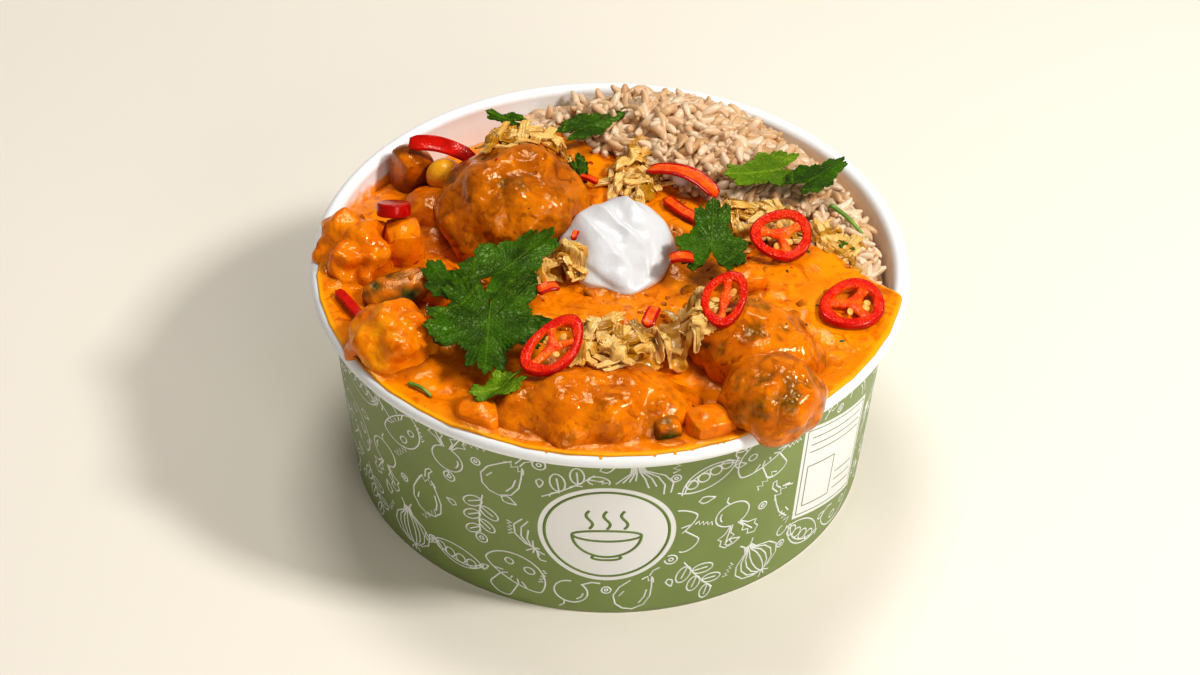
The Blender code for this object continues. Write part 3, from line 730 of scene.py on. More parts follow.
@dataclass(frozen=True)
class InkFinish(Finish):
    """One flat ink of the print, slightly uneven."""

    name: str
    ink: Colour

    def make(self) -> bpy.types.Material:
        """Return the material.

        Returns:
            The finished material.
        """
        shading = Shading(self.name)
        fibre = shading.cloud(0.5, 3.0, 0.7)
        colour = shading.mix(fibre.rise(0.5, 0.75) * 0.3, self.ink, toned(self.ink, 0.86))
        relief = shading.relief(fibre, 0.02)
        return shading.wear(Base_Color=colour, Roughness=0.5 + 0.2 * fibre, Normal=relief)


WARM: Colour = (1.0, 0.80, 0.52)


@dataclass(frozen=True)
class SauceFinish(Finish):
    """Thick glossy curry sauce, with oil, ground spice and flecks of herb."""

    name: str = "curry_sauce"
    bright: Colour = (0.92, 0.275, 0.0005)
    middle: Colour = (0.80, 0.205, 0.0005)
    deep: Colour = (0.46, 0.085, 0.0005)
    thin: Colour = (0.97, 0.42, 0.006)
    shadow: Colour = (0.20, 0.030, 0.0005)
    fleck: Colour = (0.16, 0.03, 0.002)
    gloss: float = 0.06

    def coat(self, shading: Shading) -> Socket:
        """Return the sauce's colour.

        Args:
            shading: The material that it is written into.

        Returns:
            The colour.
        """
        broad = shading.cloud(8.0, 3.0, 0.55, 0.6)
        small = shading.cloud(1.7, 3.0, 0.6)
        colour = shading.mix(broad.rise(0.36, 0.62), self.middle, self.bright)
        oil = shading.cloud(4.2, 2.0, 0.5, 1.2)
        colour = shading.mix(oil.rise(0.50, 0.72) * 0.7, colour, self.deep)
        colour = shading.mix(small.rise(0.56, 0.8) * 0.35, colour, self.thin)
        spots = 1.0 - shading.cells(1.9).rise(0.07, 0.13)
        some = shading.cloud(5.5, 2.0).rise(0.5, 0.6)
        colour = shading.mix(spots * some * 0.85, colour, self.fleck)
        grains = 1.0 - shading.cells(0.75).rise(0.08, 0.2)
        return shading.mix(grains * 0.22, colour, self.deep)

    def make(self) -> bpy.types.Material:
        """Return the material.

        Returns:
            The finished material.
        """
        shading = Shading(self.name)
        colour = shading.mix(shading.stored("thin") * 0.75, self.coat(shading), self.thin)
        # painted shade: the sauce darkens towards its shadow colour close to the food, where shade falls
        # between the pieces
        colour = shading.mix(shading.stored("painted_contact_shade") * 0.75, colour, self.shadow)
        grain = shading.cloud(0.7, 3.0, 0.65)
        folds = shading.cloud(3.6, 3.0, 0.5, 0.8)
        return shading.wear(
            Base_Color=colour,
            Roughness=self.gloss + 0.08 * folds,
            Normal=shading.relief(grain, 0.08, shading.relief(folds, 0.32)),
            Specular_IOR_Level=0.36,
            Specular_Tint=WARM,
        )


@dataclass(frozen=True)
class CoatedFinish(Finish):
    """Food under sauce: the sauce's colour where it lies thick, and the food's own where it is thin."""

    name: str
    food: Colour
    shade: Colour
    sauce: SauceFinish = SauceFinish()
    relief: float = 0.22
    gloss: float = 0.05
    stained: float = 0.4

    def make(self) -> bpy.types.Material:
        """Return the material.

        Returns:
            The finished material.
        """
        shading = Shading(self.name)
        bare = shading.stored("bare")
        mottled = shading.cloud(1.5, 4.0, 0.65)
        own = shading.mix(mottled.rise(0.35, 0.65), self.food, self.shade)
        colour = shading.mix(bare, self.sauce.coat(shading), own)
        stain = shading.cloud(9.0, 3.0, 0.6, 1.0)
        colour = shading.mix(stain.rise(0.46, 0.68) * self.stained, colour, self.sauce.deep)
        # painted shade: the lower part of the piece, where it meets the sauce, darkens to the sauce's shadow
        # colour
        colour = shading.mix(shading.stored("low") * 0.7, colour, self.sauce.shadow)
        grain = shading.cloud(0.8, 2.0, 0.55)
        folds = shading.cloud(3.4, 2.0, 0.5, 0.6)
        return shading.wear(
            Base_Color=colour,
            Roughness=self.gloss + 0.06 * folds + 0.12 * bare,
            Normal=shading.relief(grain, 0.12, shading.relief(folds, self.relief)),
            Specular_IOR_Level=0.4,
            Specular_Tint=WARM,
        )


@dataclass(frozen=True)
class YoghurtFinish(Finish):
    """Thick white yoghurt, smooth and softly shining."""

    name: str = "thick_yoghurt"
    white: Colour = (0.66, 0.65, 0.64)
    tinge: Colour = (0.90, 0.55, 0.25)

    def make(self) -> bpy.types.Material:
        """Return the material.

        Returns:
            The finished material.
        """
        shading = Shading(self.name)
        soft = shading.cloud(2.2, 3.0, 0.5, 0.6)
        fine = shading.cloud(0.5, 3.0, 0.6)
        stain = shading.stored("thin")
        colour = shading.mix(soft.rise(0.4, 0.8) * 0.25, self.white, toned(self.white, 0.96))
        return shading.wear(
            Base_Color=shading.mix(stain, colour, self.tinge),
            Roughness=0.26 + 0.1 * soft,
            Normal=shading.relief(fine, 0.02, shading.relief(soft, 0.12)),
            Subsurface_Weight=0.35,
            Subsurface_Radius=(1.0, 0.8, 0.6),
            Subsurface_Scale=0.002,
        )


@dataclass(frozen=True)
class RiceFinish(Finish):
    """Cooked brown rice: each grain a little paler or browner than the next."""

    name: str = "brown_rice"
    pale: Colour = (0.76, 0.56, 0.375)
    tan: Colour = (0.65, 0.405, 0.21)
    brown: Colour = (0.46, 0.23, 0.075)

    def make(self) -> bpy.types.Material:
        """Return the material.

        Returns:
            The finished material.
        """
        shading = Shading(self.name)
        tone = shading.stored("tone")
        mottled = shading.cloud(0.9, 3.0, 0.6)
        colour = shading.mix(tone.rise(0.15, 0.75), self.pale, self.tan)
        colour = shading.mix(tone.rise(0.85, 1.0) * 0.6, colour, self.brown)
        colour = shading.mix(mottled.rise(0.55, 0.75) * 0.3, colour, self.brown)
        return shading.wear(
            Base_Color=colour,
            Roughness=0.24 + 0.2 * mottled,
            Normal=shading.relief(mottled, 0.12),
            Subsurface_Weight=0.25,
            Subsurface_Radius=(1.0, 0.95, 0.9),
            Subsurface_Scale=0.001,
        )


@dataclass(frozen=True)
class OnionFinish(Finish):
    """Soft golden onion, glassy at its edges and olive where it lies thick."""

    name: str = "soft_onion"
    gold: Colour = (0.68, 0.31, 0.016)
    pale: Colour = (0.82, 0.50, 0.15)
    olive: Colour = (0.42, 0.185, 0.006)

    def make(self) -> bpy.types.Material:
        """Return the material.

        Returns:
            The finished material.
        """
        shading = Shading(self.name)
        broad = shading.cloud(4.5, 3.0, 0.6, 0.8)
        fine = shading.cloud(0.8, 4.0, 0.7)
        tone = shading.stored("tone")
        colour = shading.mix(tone.rise(0.2, 0.65), self.olive, self.gold)
        colour = shading.mix(tone.rise(0.35, 0.75), colour, self.pale)
        colour = shading.mix(broad.rise(0.52, 0.74) * 0.5, colour, self.gold)
        return shading.wear(
            Base_Color=colour,
            Roughness=0.08 + 0.12 * fine,
            Normal=shading.relief(fine, 0.10, shading.relief(broad, 0.2)),
            Specular_IOR_Level=0.6,
            Subsurface_Weight=0.3,
            Subsurface_Radius=(1.0, 0.9, 0.8),
            Subsurface_Scale=0.001,
        )


@dataclass(frozen=True)
class ChilliFinish(Finish):
    """Fresh chilli: skin, cut flesh or pith, by its colours."""

    name: str
    near: Colour
    far: Colour
    gloss: float = 0.14
    depth: float = 0.06

    def make(self) -> bpy.types.Material:
        """Return the material.

        Returns:
            The finished material.
        """
        shading = Shading(self.name)
        broad = shading.cloud(3.0, 2.0)
        beads = shading.cells(0.55)
        return shading.wear(
            Base_Color=shading.mix(broad.rise(0.35, 0.65), self.near, self.far),
            Roughness=self.gloss + 0.12 * broad,
            Normal=shading.relief(beads, self.depth),
            Specular_IOR_Level=0.4,
            Specular_Tint=(1.0, 0.5, 0.4),
            Coat_Weight=0.16,
            Coat_Roughness=0.04,
        )


@dataclass(frozen=True)
class LeafFinish(Finish):
    """Fresh coriander leaf with paler veins and a soft shine."""

    name: str = "coriander_leaf"
    green: Colour = (0.034, 0.106, 0.0005)
    dark: Colour = (0.012, 0.044, 0.0003)
    vein: Colour = (0.12, 0.22, 0.003)

    def make(self) -> bpy.types.Material:
        """Return the material.

        Returns:
            The finished material.
        """
        shading = Shading(self.name)
        vein = shading.stored("vein")
        broad = shading.cloud(6.0, 3.0)
        fine = shading.cloud(0.9, 4.0, 0.65)
        netting = shading.cells(1.3, "DISTANCE_TO_EDGE").rise(0.0, 0.12)
        colour = shading.mix(broad.rise(0.35, 0.65), self.green, self.dark)
        colour = shading.mix((1.0 - netting) * 0.22, colour, self.vein)
        colour = shading.mix(vein * 0.6, colour, self.vein)
        normal = shading.relief(fine, 0.08, shading.relief(netting, 0.10))
        return shading.wear(
            Base_Color=colour,
            Roughness=0.20 + 0.14 * fine,
            Normal=shading.relief(vein, 0.22, normal),
            Specular_IOR_Level=0.3,
            Specular_Tint=(0.85, 1.0, 0.42),
        )


@dataclass(frozen=True)
class PlainFoodFinish(Finish):
    """A plain fresh or cooked surface with two colours and fine relief."""

    name: str
    near: Colour
    far: Colour
    size: float = 2.0
    gloss: float = 0.3
    depth: float = 0.1

    def make(self) -> bpy.types.Material:
        """Return the material.

        Returns:
            The finished material.
        """
        shading = Shading(self.name)
        broad = shading.cloud(self.size, 3.0, 0.6)
        fine = shading.cloud(0.5, 3.0, 0.65)
        return shading.wear(
            Base_Color=shading.mix(broad.rise(0.35, 0.65), self.near, self.far),
            Roughness=self.gloss + 0.15 * fine,
            Normal=shading.relief(fine, self.depth),
            Coat_Weight=0.2,
            Coat_Roughness=0.12,
        )


@dataclass(frozen=True)
class FloorFinish(Finish):
    """The pale floor that the bowl stands on."""

    name: str = "pale_floor"
    colour: Colour = (0.83, 0.76, 0.655)

    def make(self) -> bpy.types.Material:
        """Return the material.

        Returns:
            The finished material.
        """
        shading = Shading(self.name)
        soft = shading.cloud(400.0, 1.0)
        colour = shading.mix(soft * 0.1, self.colour, toned(self.colour, 0.99))
        return shading.wear(Base_Color=colour, Roughness=0.9, Specular_IOR_Level=0.1)


# The bowl.


@dataclass
class PaperBowl:
    """The paper bowl: a printed wall with a rolled rim and a folded foot, and its floor."""

    rim_radius: float = 75.0
    height: float = 60.0
    bead_radius: float = 2.0
    base_radius: float = 66.2
    wall_top_radius: float = 71.0
    wall: float = 0.7
    foot_height: float = 4.7
    foot_thickness: float = 1.6
    floor_bottom: float = 5.0
    floor_thickness: float = 0.8
    steps: int = 180

    def wall_radius(self, height: Floats) -> Floats:
        """Return the wall's outer radius at a height, in millimetres."""
        share = height / (self.height - 2.0 * self.bead_radius)
        return self.base_radius + (self.wall_top_radius - self.base_radius) * share

    def bead_point(self, angle: float, radius: Optional[float] = None) -> Spot:
        """Return a point round the rim's bead, 0 degrees outwards and 90 up.

        Args:
            angle: The angle in degrees.
            radius: How far from the bead's centre, or None for its surface.

        Returns:
            The point's radius and height, in millimetres.
        """
        turn, reach = math.radians(angle), radius or self.bead_radius
        centre = self.rim_radius - self.bead_radius
        return centre + reach * math.cos(turn), self.height - self.bead_radius + reach * math.sin(turn)

    def profile(self) -> Line:
        """Return the wall's section, from the foot's outer edge over the rim to the foot's inner edge.

        Returns:
            Radius and height of each ring, in millimetres.
        """
        under = self.height - 2.0 * self.bead_radius + 0.5
        heights = [0.35, 2.0, 4.6, 10.0, 20.0, 30.0, 40.0, 50.0, under]
        line = [(self.wall_radius(0.0) - 0.35, 0.0)] + [(self.wall_radius(at), at) for at in heights]
        line += [self.bead_point(angle) for angle in range(-125, 196, 16)]
        inside = (under - 1.0, 45.0, 30.0, 15.0, self.foot_height)
        line += [(self.wall_radius(at) - self.wall, at) for at in inside]
        inner = self.wall_radius(0.0) - self.foot_thickness
        foot = [(0.4, self.foot_height - 0.1), (0.0, self.foot_height - 0.6), (0.0, 0.3), (0.3, 0.0)]
        return line + [(inner + out, height) for out, height in foot]

    def lathe(self, name: str, line: Line, closed: bool = True) -> Piece:
        """Turn a section about +Z by extruding a ring along it.

        Args:
            name: The piece's name.
            line: Radius and height of each ring, in millimetres.
            closed: Whether the last ring joins the first one.

        Returns:
            The turned piece.
        """
        radius, height = line[0]
        made = new_primitive(
            name, bpy.ops.mesh.primitive_circle_add, vertices=self.steps, radius=radius * MM,
            location=(0.0, 0.0, height * MM),
        )
        bpy.ops.object.transform_apply(location=True)
        bpy.ops.object.mode_set(mode="EDIT")
        bpy.ops.mesh.select_all(action="SELECT")
        for after_radius, after_height in line[1:] + (line[:1] if closed else []):
            bpy.ops.mesh.extrude_region_move(
                TRANSFORM_OT_translate={"value": (0.0, 0.0, (after_height - height) * MM)}
            )
            scale = after_radius / radius
            bpy.ops.transform.resize(value=(scale, scale, 1.0), center_override=(0.0, 0.0, 0.0))
            radius, height = after_radius, after_height
        bpy.ops.object.mode_set(mode="OBJECT")
        weld(made, FINE_WELD)
        return made

    def build_wall(self) -> Piece:
        """Build the wall and give its outside the print.

        Returns:
            The wall.
        """
        wall = self.lathe("paper_bowl_wall", self.profile())
        wall.data.materials.clear()
        wall.data.materials.append(dress(PaperFinish("bowl_paper", stained=True)))
        wall.data.materials.append(dress(PrintFinish()))
        for face in wall.data.polygons:
            reach = math.hypot(face.center.x, face.center.y) / MM
            outside = reach > self.wall_radius(face.center.z / MM) - 0.3
            if outside and 0.2 < face.center.z / MM < self.height - 2.0 * self.bead_radius + 0.5:
                face.material_index = 1
        return fasten(wall, ["bowl_wall"], CREASE)

    def build_floor(self) -> Piece:
        """Build the floor's disc, with the ring that pressing leaves round its underside.

        Returns:
            The floor.
        """
        edge = self.wall_radius(self.floor_bottom) - self.wall - 0.1
        low, top = self.floor_bottom, self.floor_bottom + self.floor_thickness
        line = [(0.02, low + 0.25), (edge - 9.0, low + 0.25), (edge - 7.6, low), (edge - 3.0, low),
                (edge - 0.4, low), (edge, low + 0.3), (edge, top), (0.02, top)]
        floor = self.lathe("paper_bowl_floor", line)
        return seat(floor, PaperFinish("base_paper"), ["bowl_floor"], CREASE)


class Motif(Enum):
    """The drawings that the print repeats."""

    MUSHROOM = "mushroom"
    PEA_POD = "pea pod"
    BULB = "bulb"
    SPRIG = "sprig"
    EGGPLANT = "eggplant"
    RADISH = "radish"


def arc(centre: Spot, radii: Spot, start: float, end: float, steps: int = 14) -> Line:
    """Return points along an ellipse's arc.

    Args:
        centre: The ellipse's centre.
        radii: Its two radii.
        start: The angle that the arc starts at, in degrees.
        end: The angle that it ends at.
        steps: How many steps it has.

    Returns:
        The points.
    """
    line = []
    for step in range(steps + 1):
        turn = math.radians(start + (end - start) * step / steps)
        line.append((centre[0] + radii[0] * math.cos(turn), centre[1] + radii[1] * math.sin(turn)))
    return line


@dataclass
class PrintedPattern:
    """White drawings round the green wall, a plain bowl sign in the field, and ruled lines on the label."""

    bowl: PaperBowl
    layout: PrintLayout = PrintLayout()
    rows: tuple[float, ...] = (9.6, 28.0, 46.4)
    columns: int = 27
    width: float = 0.5
    margin: float = 1.0
    lowest: float = 1.2
    highest: float = 55.4

    def drawing(self, motif: Motif) -> list[Line]:
        """Return one motif's lines, in a square from -1 to 1.

        Args:
            motif: The drawing that is asked for.

        Returns:
            Its lines.
        """
        return {
            Motif.MUSHROOM: self.mushroom, Motif.PEA_POD: self.pea_pod, Motif.BULB: self.bulb,
            Motif.SPRIG: self.sprig, Motif.EGGPLANT: self.eggplant, Motif.RADISH: self.radish,
        }[motif]()

    def mushroom(self) -> list[Line]:
        """Return a mushroom, seen from the side.

        Returns:
            Its lines.
        """
        middle = (0.0, 0.05)
        cap = arc(middle, (0.92, 0.85), 0.0, 180.0, 22) + arc(middle, (0.92, 0.26), 180.0, 360.0, 16)
        stem = [(-0.30, -0.19)] + arc((-0.02, -0.72), (0.34, 0.2), 180.0, 360.0, 10) + [(0.28, -0.19)]
        gills = [[(x * 0.55, -0.02), (x, -0.15)] for x in (-0.55, -0.28, 0.0, 0.28, 0.55)]
        sizes = {(-0.35, 0.45): (0.13, 0.11), (0.25, 0.55): (0.16, 0.12)}
        spots = [arc(spot, size, 0.0, 360.0, 10) for spot, size in sizes.items()]
        return [cap, stem] + gills + spots

    def pea_pod(self) -> list[Line]:
        """Return an open pea pod.

        Returns:
            Its lines.
        """
        upper = arc((0.0, -0.55), (1.0, 0.95), 155.0, 25.0, 20)
        lower = arc((0.0, 0.35), (1.05, 0.75), 205.0, 335.0, 20)
        middles = [(x, -0.02 + 0.1 * (1.0 - x * x)) for x in (-0.5, -0.12, 0.26, 0.6)]
        peas = [arc(middle, (0.17, 0.17), 0.0, 360.0, 12) for middle in middles]
        curl = arc((1.08, 0.08), (0.16, 0.2), 230.0, -40.0, 10)
        return [upper, lower, curl, arc((0.0, -0.35), (0.86, 0.62), 158.0, 22.0, 18)] + peas

    def bulb(self) -> list[Line]:
        """Return a halved bulb with its layers, shoot and roots.

        Returns:
            Its lines.
        """
        lines = []
        for size in (1.0, 0.72, 0.45, 0.2):
            side = [(0.12 * size, 0.8), (0.2 * size, 0.55), (0.62 * size, 0.25), (0.78 * size, -0.1),
                    (0.66 * size, -0.45), (0.3 * size, -0.68), (0.0, -0.72)]
            lines.append(side + [(-x, y) for x, y in reversed(side[:-1])])
        lines += [[(0.0, -0.72), (x, -0.95)] for x in (-0.2, 0.0, 0.2)]
        lines.append([(0.1, 0.8), (0.25, 1.0)])
        lines.append([(-0.1, 0.8), (-0.2, 1.02)])
        return lines

    def sprig(self) -> list[Line]:
        """Return a stem with round-ended leaves on both sides.

        Returns:
            Its lines.
        """
        lines = [[(-0.1 + 0.12 * math.sin(2.2 * t), -1.0 + 1.7 * t) for t in np.linspace(0.0, 1.0, 12)]]
        for share, side in ((0.15, 1), (0.32, -1), (0.5, 1), (0.67, -1), (0.86, 1)):
            x, y = -0.1 + 0.12 * math.sin(2.2 * share), -1.0 + 1.7 * share
            reach = 0.62 - 0.2 * share
            tip = (x + side * reach, y + 0.36)
            right, up = tip[0] - x, tip[1] - y
            leaf = [(x + right * u - up * v, y + up * u + right * v)
                    for u, v in arc((0.5, 0.0), (-0.5, 0.3), 0.0, 360.0, 16)]
            lines += [leaf, [(x, y), (x + right * 0.75, y + up * 0.75)]]
        return lines

    def eggplant(self) -> list[Line]:
        """Return a long eggplant with its cap and stalk.

        Returns:
            Its lines.
        """
        side = [(0.16, 0.55), (0.34, 0.2), (0.5, -0.2), (0.5, -0.6), (0.28, -0.9), (0.0, -0.98)]
        body = side + [(-x, y) for x, y in reversed(side[:-1])]
        cap = [(-0.3, 0.35), (-0.16, 0.5), (-0.05, 0.34), (0.05, 0.52), (0.16, 0.34),
               (0.24, 0.5), (0.32, 0.34)]
        stalk = [(-0.06, 0.55), (-0.04, 0.86), (0.1, 1.02), (0.2, 0.96), (0.08, 0.8), (0.08, 0.56)]
        shine = [(0.28, 0.0), (0.36, -0.3), (0.33, -0.6)]
        return [body, cap, stalk, shine, [(-0.3, -0.3), (-0.34, -0.55)]]

    def radish(self) -> list[Line]:
        """Return a round radish with its root and two leaves.

        Returns:
            Its lines.
        """
        body = arc((0.0, -0.25), (0.5, 0.45), 70.0, -250.0, 24)
        root = [(0.0, -0.7), (0.05, -0.85), (-0.03, -1.0)]
        lines = [body, root]
        leaf = [(0.08, 0.18), (0.2, 0.45), (0.12, 0.62), (0.3, 0.7), (0.24, 0.88), (0.46, 0.98),
                (0.6, 0.8), (0.52, 0.62), (0.6, 0.5), (0.36, 0.42), (0.14, 0.17)]
        for side in (-1, 1):
            lines += [[(x * side, y) for x, y in part] for part in (leaf, [(0.14, 0.22), (0.42, 0.78)])]
        lines.append(arc((0.0, -0.25), (0.36, 0.32), 20.0, -40.0, 8))
        return lines

    def bare(self, along: float, height: float) -> bool:
        """Tell whether a point of the wall, in millimetres from the front, lies in the field or the label.

        Args:
            along: How far round the wall from the front the point lies.
            height: How high it lies.

        Returns:
            Whether the point stays bare.
        """
        layout = self.layout
        across = along - layout.label_middle
        rise = height - (layout.label_height + layout.slope * across)
        wide, high, reach = (
            size + self.margin for size in (layout.label_half, layout.label_reach, layout.field_reach)
        )
        in_label = abs(across) < wide and abs(rise) < high
        return in_label or math.hypot(along, height - layout.field_height) < reach

    def laid_out(self, rng: random.Random) -> list[Line]:
        """Return every line of the print, in millimetres round the wall from the front and up it.

        Args:
            rng: The random numbers that turn and size the drawings.

        Returns:
            The lines.
        """
        lines = []
        pitch = math.tau * self.layout.radius / self.columns
        kinds = list(Motif)
        for row, level in enumerate(self.rows):
            for column in range(self.columns):
                middle = (column + 0.5 * (row % 2)) * pitch - math.pi * self.layout.radius
                turn = rng.uniform(-0.9, 0.9) + (math.pi if rng.random() < 0.3 else 0.0)
                size = rng.uniform(8.3, 9.4)
                for line in self.drawing(kinds[(column * 5 + row * 2) % len(kinds)]):
                    lines.append(self.turned(line, (middle, level), turn, size))
                for step, offset in enumerate((9.2 if row < 2 else 6.0, 0.5)):
                    spot = (middle + 0.5 * pitch, level + rng.uniform(-1.5, 1.5) + offset)
                    turn, small = rng.uniform(0.0, 6.0), (2.3, 1.7)[step]
                    drawn = self.filler(column + row + step)
                    lines += [self.turned(line, spot, turn, small) for line in drawn]
        return lines

    def filler(self, index: int) -> list[Line]:
        """Return one of the small drawings that fill the gaps.

        Args:
            index: Which drawing is asked for, counted round.

        Returns:
            Its lines.
        """
        drop = [(0.0, 1.0), (0.45, 0.1), (0.5, -0.4), (0.0, -0.85), (-0.5, -0.4), (-0.45, 0.1), (0.0, 1.0)]
        wave = [(-1.4 + 0.35 * step, 0.35 * (-1) ** step) for step in range(9)]
        rings = [arc((0.0, 0.0), (0.7, 0.7), 0.0, 360.0, 12), arc((0.0, 0.0), (0.25, 0.25), 0.0, 360.0, 8)]
        return ([drop], [wave], rings)[index % 3]

    def turned(self, line: Line, middle: Spot, turn: float, size: float) -> Line:
        """Return a line turned, sized and moved to its place.

        Args:
            line: The line, in a square from -1 to 1.
            middle: Its new middle.
            turn: The turn in radians.
            size: The size of its 1 in millimetres.

        Returns:
            The line in its place.
        """
        cosine, sine = math.cos(turn) * size, math.sin(turn) * size
        return [(middle[0] + x * cosine - y * sine, middle[1] + x * sine + y * cosine) for x, y in line]

    def cut(self, lines: list[Line]) -> list[Line]:
        """Return the lines without what would lie in a bare field or off the wall.

        Args:
            lines: The lines as they were laid out.

        Returns:
            What is left of them.
        """
        kept = []
        for line in lines:
            run: Line = []
            for along, height in line:
                if self.bare(along, height) or not self.lowest < height < self.highest:
                    if len(run) > 1:
                        kept.append(run)
                    run = []
                else:
                    run.append((along, height))
            if len(run) > 1:
                kept.append(run)
        return kept

    def inked(self, name: str, lines: list[Line], width: float) -> Piece:
        """Draw lines as thin raised ink on the wall.

        Args:
            name: The piece's name.
            lines: The lines, in millimetres round the wall from the front and up it.
            width: The ink's width in millimetres.

        Returns:
            The ink, wrapped on the wall.
        """
        curve = bpy.data.curves.new(name, "CURVE")
        curve.dimensions = "3D"
        curve.bevel_depth = 0.5 * width
        curve.bevel_resolution = 0
        curve.use_fill_caps = True
        for line in lines:
            spline = curve.splines.new("POLY")
            spline.points.add(len(line) - 1)
            for point, (along, height) in zip(spline.points, line):
                point.co = (along, height, 0.0, 1.0)
        pick(linked(name, curve))
        bpy.ops.object.convert(target="MESH")
        made = bpy.context.active_object
        points = points_of(made)
        reach = self.bowl.wall_radius(points[:, 1]) + 0.02 + points[:, 2] * 0.14
        turn = points[:, 0] / self.layout.radius - 0.5 * math.pi
        put_points(made, np.stack([reach * np.cos(turn), reach * np.sin(turn), points[:, 1]], 1) * MM)
        return made

    def sign(self) -> list[Line]:
        """Return a plain bowl with three wisps over it, for the round field.

        Returns:
            The sign's lines.
        """
        level, reach = self.layout.field_height, self.layout.field_reach - 1.6
        bowl = arc((0.0, level - 0.5), (8.4, 7.6), 180.0, 360.0, 28)
        rim = arc((0.0, level - 0.5), (8.4, 1.9), 0.0, 360.0, 36)
        lines = [bowl, rim, arc((0.0, level - 8.4), (3.6, 0.9), 150.0, 390.0, 14)]
        lines.append(arc((0.0, level), (reach, reach), 0.0, 360.0, 72))
        for x in (-4.2, 0.0, 4.2):
            shares = np.linspace(0.0, 1.0, 12)
            lines.append([(x + 0.8 * math.sin(math.tau * up), level + 2.0 + 6.5 * up) for up in shares])
        return lines

    def rules(self) -> list[Line]:
        """Return the label's frame, its ruled lines and an empty box.

        Returns:
            The label's lines.
        """
        layout = self.layout
        middle, half, reach = layout.label_middle, layout.label_half, layout.label_reach
        ends = [((-half + 3.0, up), (half - 3.0, up)) for up in (reach - 4.0, reach - 6.5, reach - 9.0)]
        ends += [((2.0, up), (half - 3.0, up)) for up in (-reach + 5.0, -reach + 8.0, -reach + 11.0)]
        for left, right, low, high in ((1.2 - half, half - 1.2, 1.2 - reach, reach - 1.2),
                                       (3.0 - half, 0.0, 4.0 - reach, 2.0)):
            corners = [(left, low), (right, low), (right, high), (left, high)]
            ends += list(zip(corners, corners[1:] + corners[:1]))
        lines = []
        for (a, b), (c, d) in ends:
            steps = [(a + (c - a) * share, b + (d - b) * share) for share in np.linspace(0.0, 1.0, 8)]
            lines.append([(middle + x, layout.label_height + layout.slope * x + y) for x, y in steps])
        return lines

    def build(self, rng: random.Random) -> None:
        """Build the three inks of the print.

        Args:
            rng: The random numbers that lay the drawings out.
        """
        white = self.inked("white_drawings", self.cut(self.laid_out(rng)), self.width)
        seat(white, InkFinish("white_ink", (0.80, 0.81, 0.76)))
        green = InkFinish("green_ink", (0.16, 0.23, 0.05))
        seat(self.inked("field_sign", self.sign(), 0.75), green)
        seat(self.inked("label_rules", self.rules(), 0.3), green)


# The sauce.


